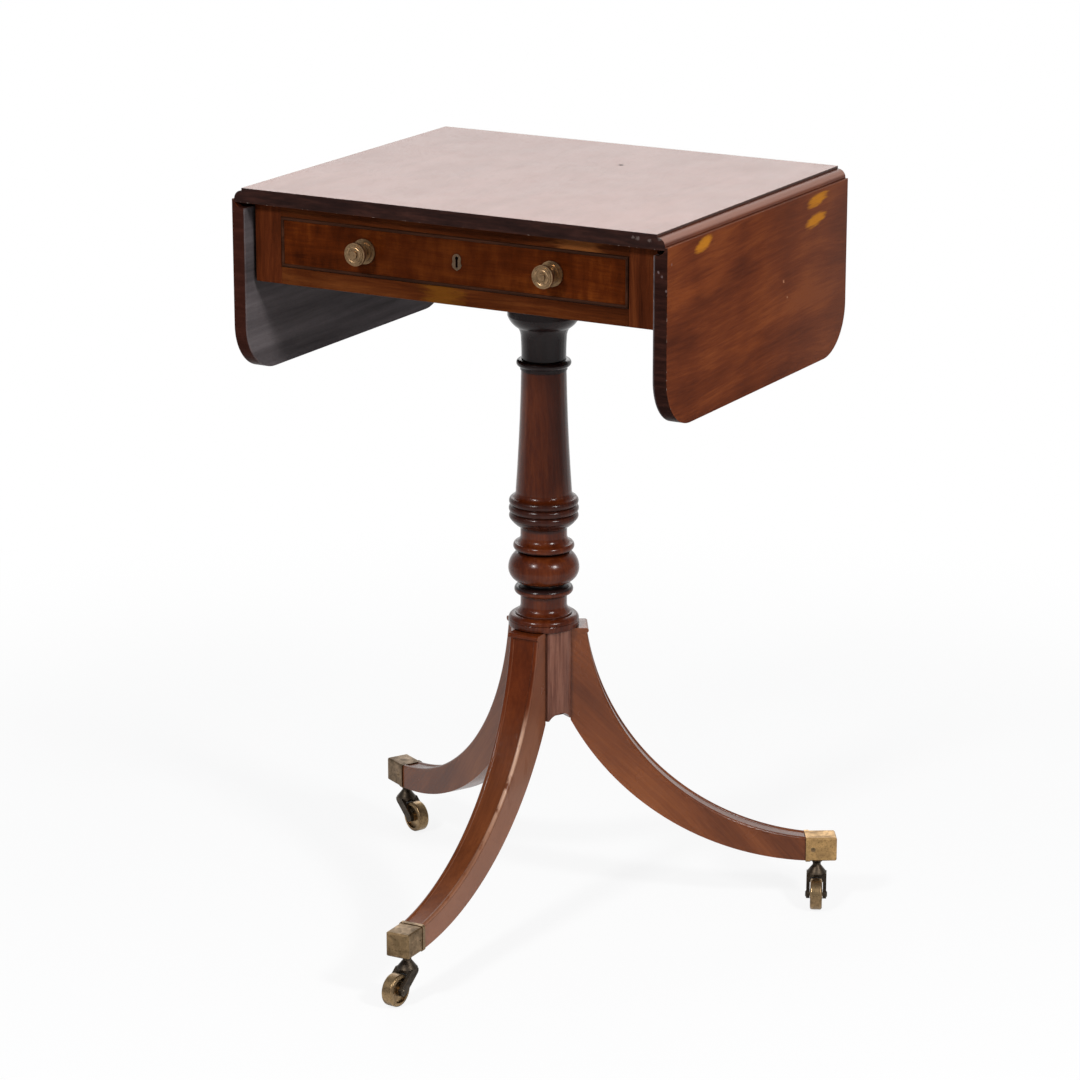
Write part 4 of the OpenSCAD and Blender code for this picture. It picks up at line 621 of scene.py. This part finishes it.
# World: a white backdrop behind the table, a plain dim room on the camera's side
room_tone = (0.93, 0.95, 1.0)
room_strength = 0.36
turn = math.radians(cam_azimuth)
backwards = (-math.sin(turn), math.cos(turn), 0)
world = bpy.data.worlds.new("studio")
scene.world = world
world.use_nodes = True
tree = world.node_tree
room = tree.nodes["Background"]
room.inputs["Color"].default_value = (*room_tone, 1)
room.inputs["Strength"].default_value = room_strength
white = tree.nodes.new("ShaderNodeBackground")
white.inputs["Color"].default_value = (1, 1, 1, 1)
coords = tree.nodes.new("ShaderNodeTexCoord")
behind = tree.nodes.new("ShaderNodeVectorMath")
behind.operation = "DOT_PRODUCT"
tree.links.new(coords.outputs["Generated"], behind.inputs[0])
behind.inputs[1].default_value = backwards
backdrop = tree.nodes.new("ShaderNodeMapRange")
backdrop.interpolation_type = "SMOOTHSTEP"
tree.links.new(behind.outputs["Value"], backdrop.inputs[0])
backdrop.inputs[1].default_value = 0.35
backdrop.inputs[2].default_value = 0.8
blend = tree.nodes.new("ShaderNodeMixShader")
tree.links.new(seen_white(tree, backdrop.outputs[0]), blend.inputs[0])
tree.links.new(room.outputs[0], blend.inputs[1])
tree.links.new(white.outputs[0], blend.inputs[2])
tree.links.new(blend.outputs[0], tree.nodes["World Output"].inputs["Surface"])

# Floor: pale, seen white, with the table's shadow near the middle
floor_half = 30
floor_drop = 0.2 * mm
floor_corners = [(-floor_half, -floor_half, 0), (floor_half, -floor_half, 0),
                 (floor_half, floor_half, 0), (-floor_half, floor_half, 0)]
floor_mesh = bpy.data.meshes.new("floor")
floor_mesh.from_pydata(floor_corners, [], [(0, 1, 2, 3)])
floor = bpy.data.objects.new("floor", floor_mesh)
scene.collection.objects.link(floor)
floor.location.z = -floor_drop
paint = Paint("pale_floor")
paint.finish(Base_Color=(0.8, 0.8, 0.8), Roughness=0.9, Specular_IOR_Level=0.1)
glow = paint.add("Emission", {"Color": (1, 1, 1), "Strength": 1.0})
away = paint.add("VectorMath", {0: paint.place()}, operation="LENGTH").outputs["Value"]
paleness = paint.span(away, 0.4, 1.4, 0.86, 1.0, smooth=True)
beyond = paint.add("VectorMath", {0: paint.place(), 1: backwards}, operation="DOT_PRODUCT").outputs["Value"]
beyond = paint.span(beyond, -0.2, 0.4, 0, 1, smooth=True)
mixed = paint.add("MixShader", {0: paint.product(seen_white(paint.tree, beyond), paleness)})
paint.tree.links.new(paint.shader.outputs[0], mixed.inputs[1])
paint.tree.links.new(glow.outputs[0], mixed.inputs[2])
paint.tree.links.new(mixed.outputs[0], paint.tree.nodes["Material Output"].inputs["Surface"])
floor_mesh.materials.append(paint.mat)
scene.view_settings.view_transform = "Standard"
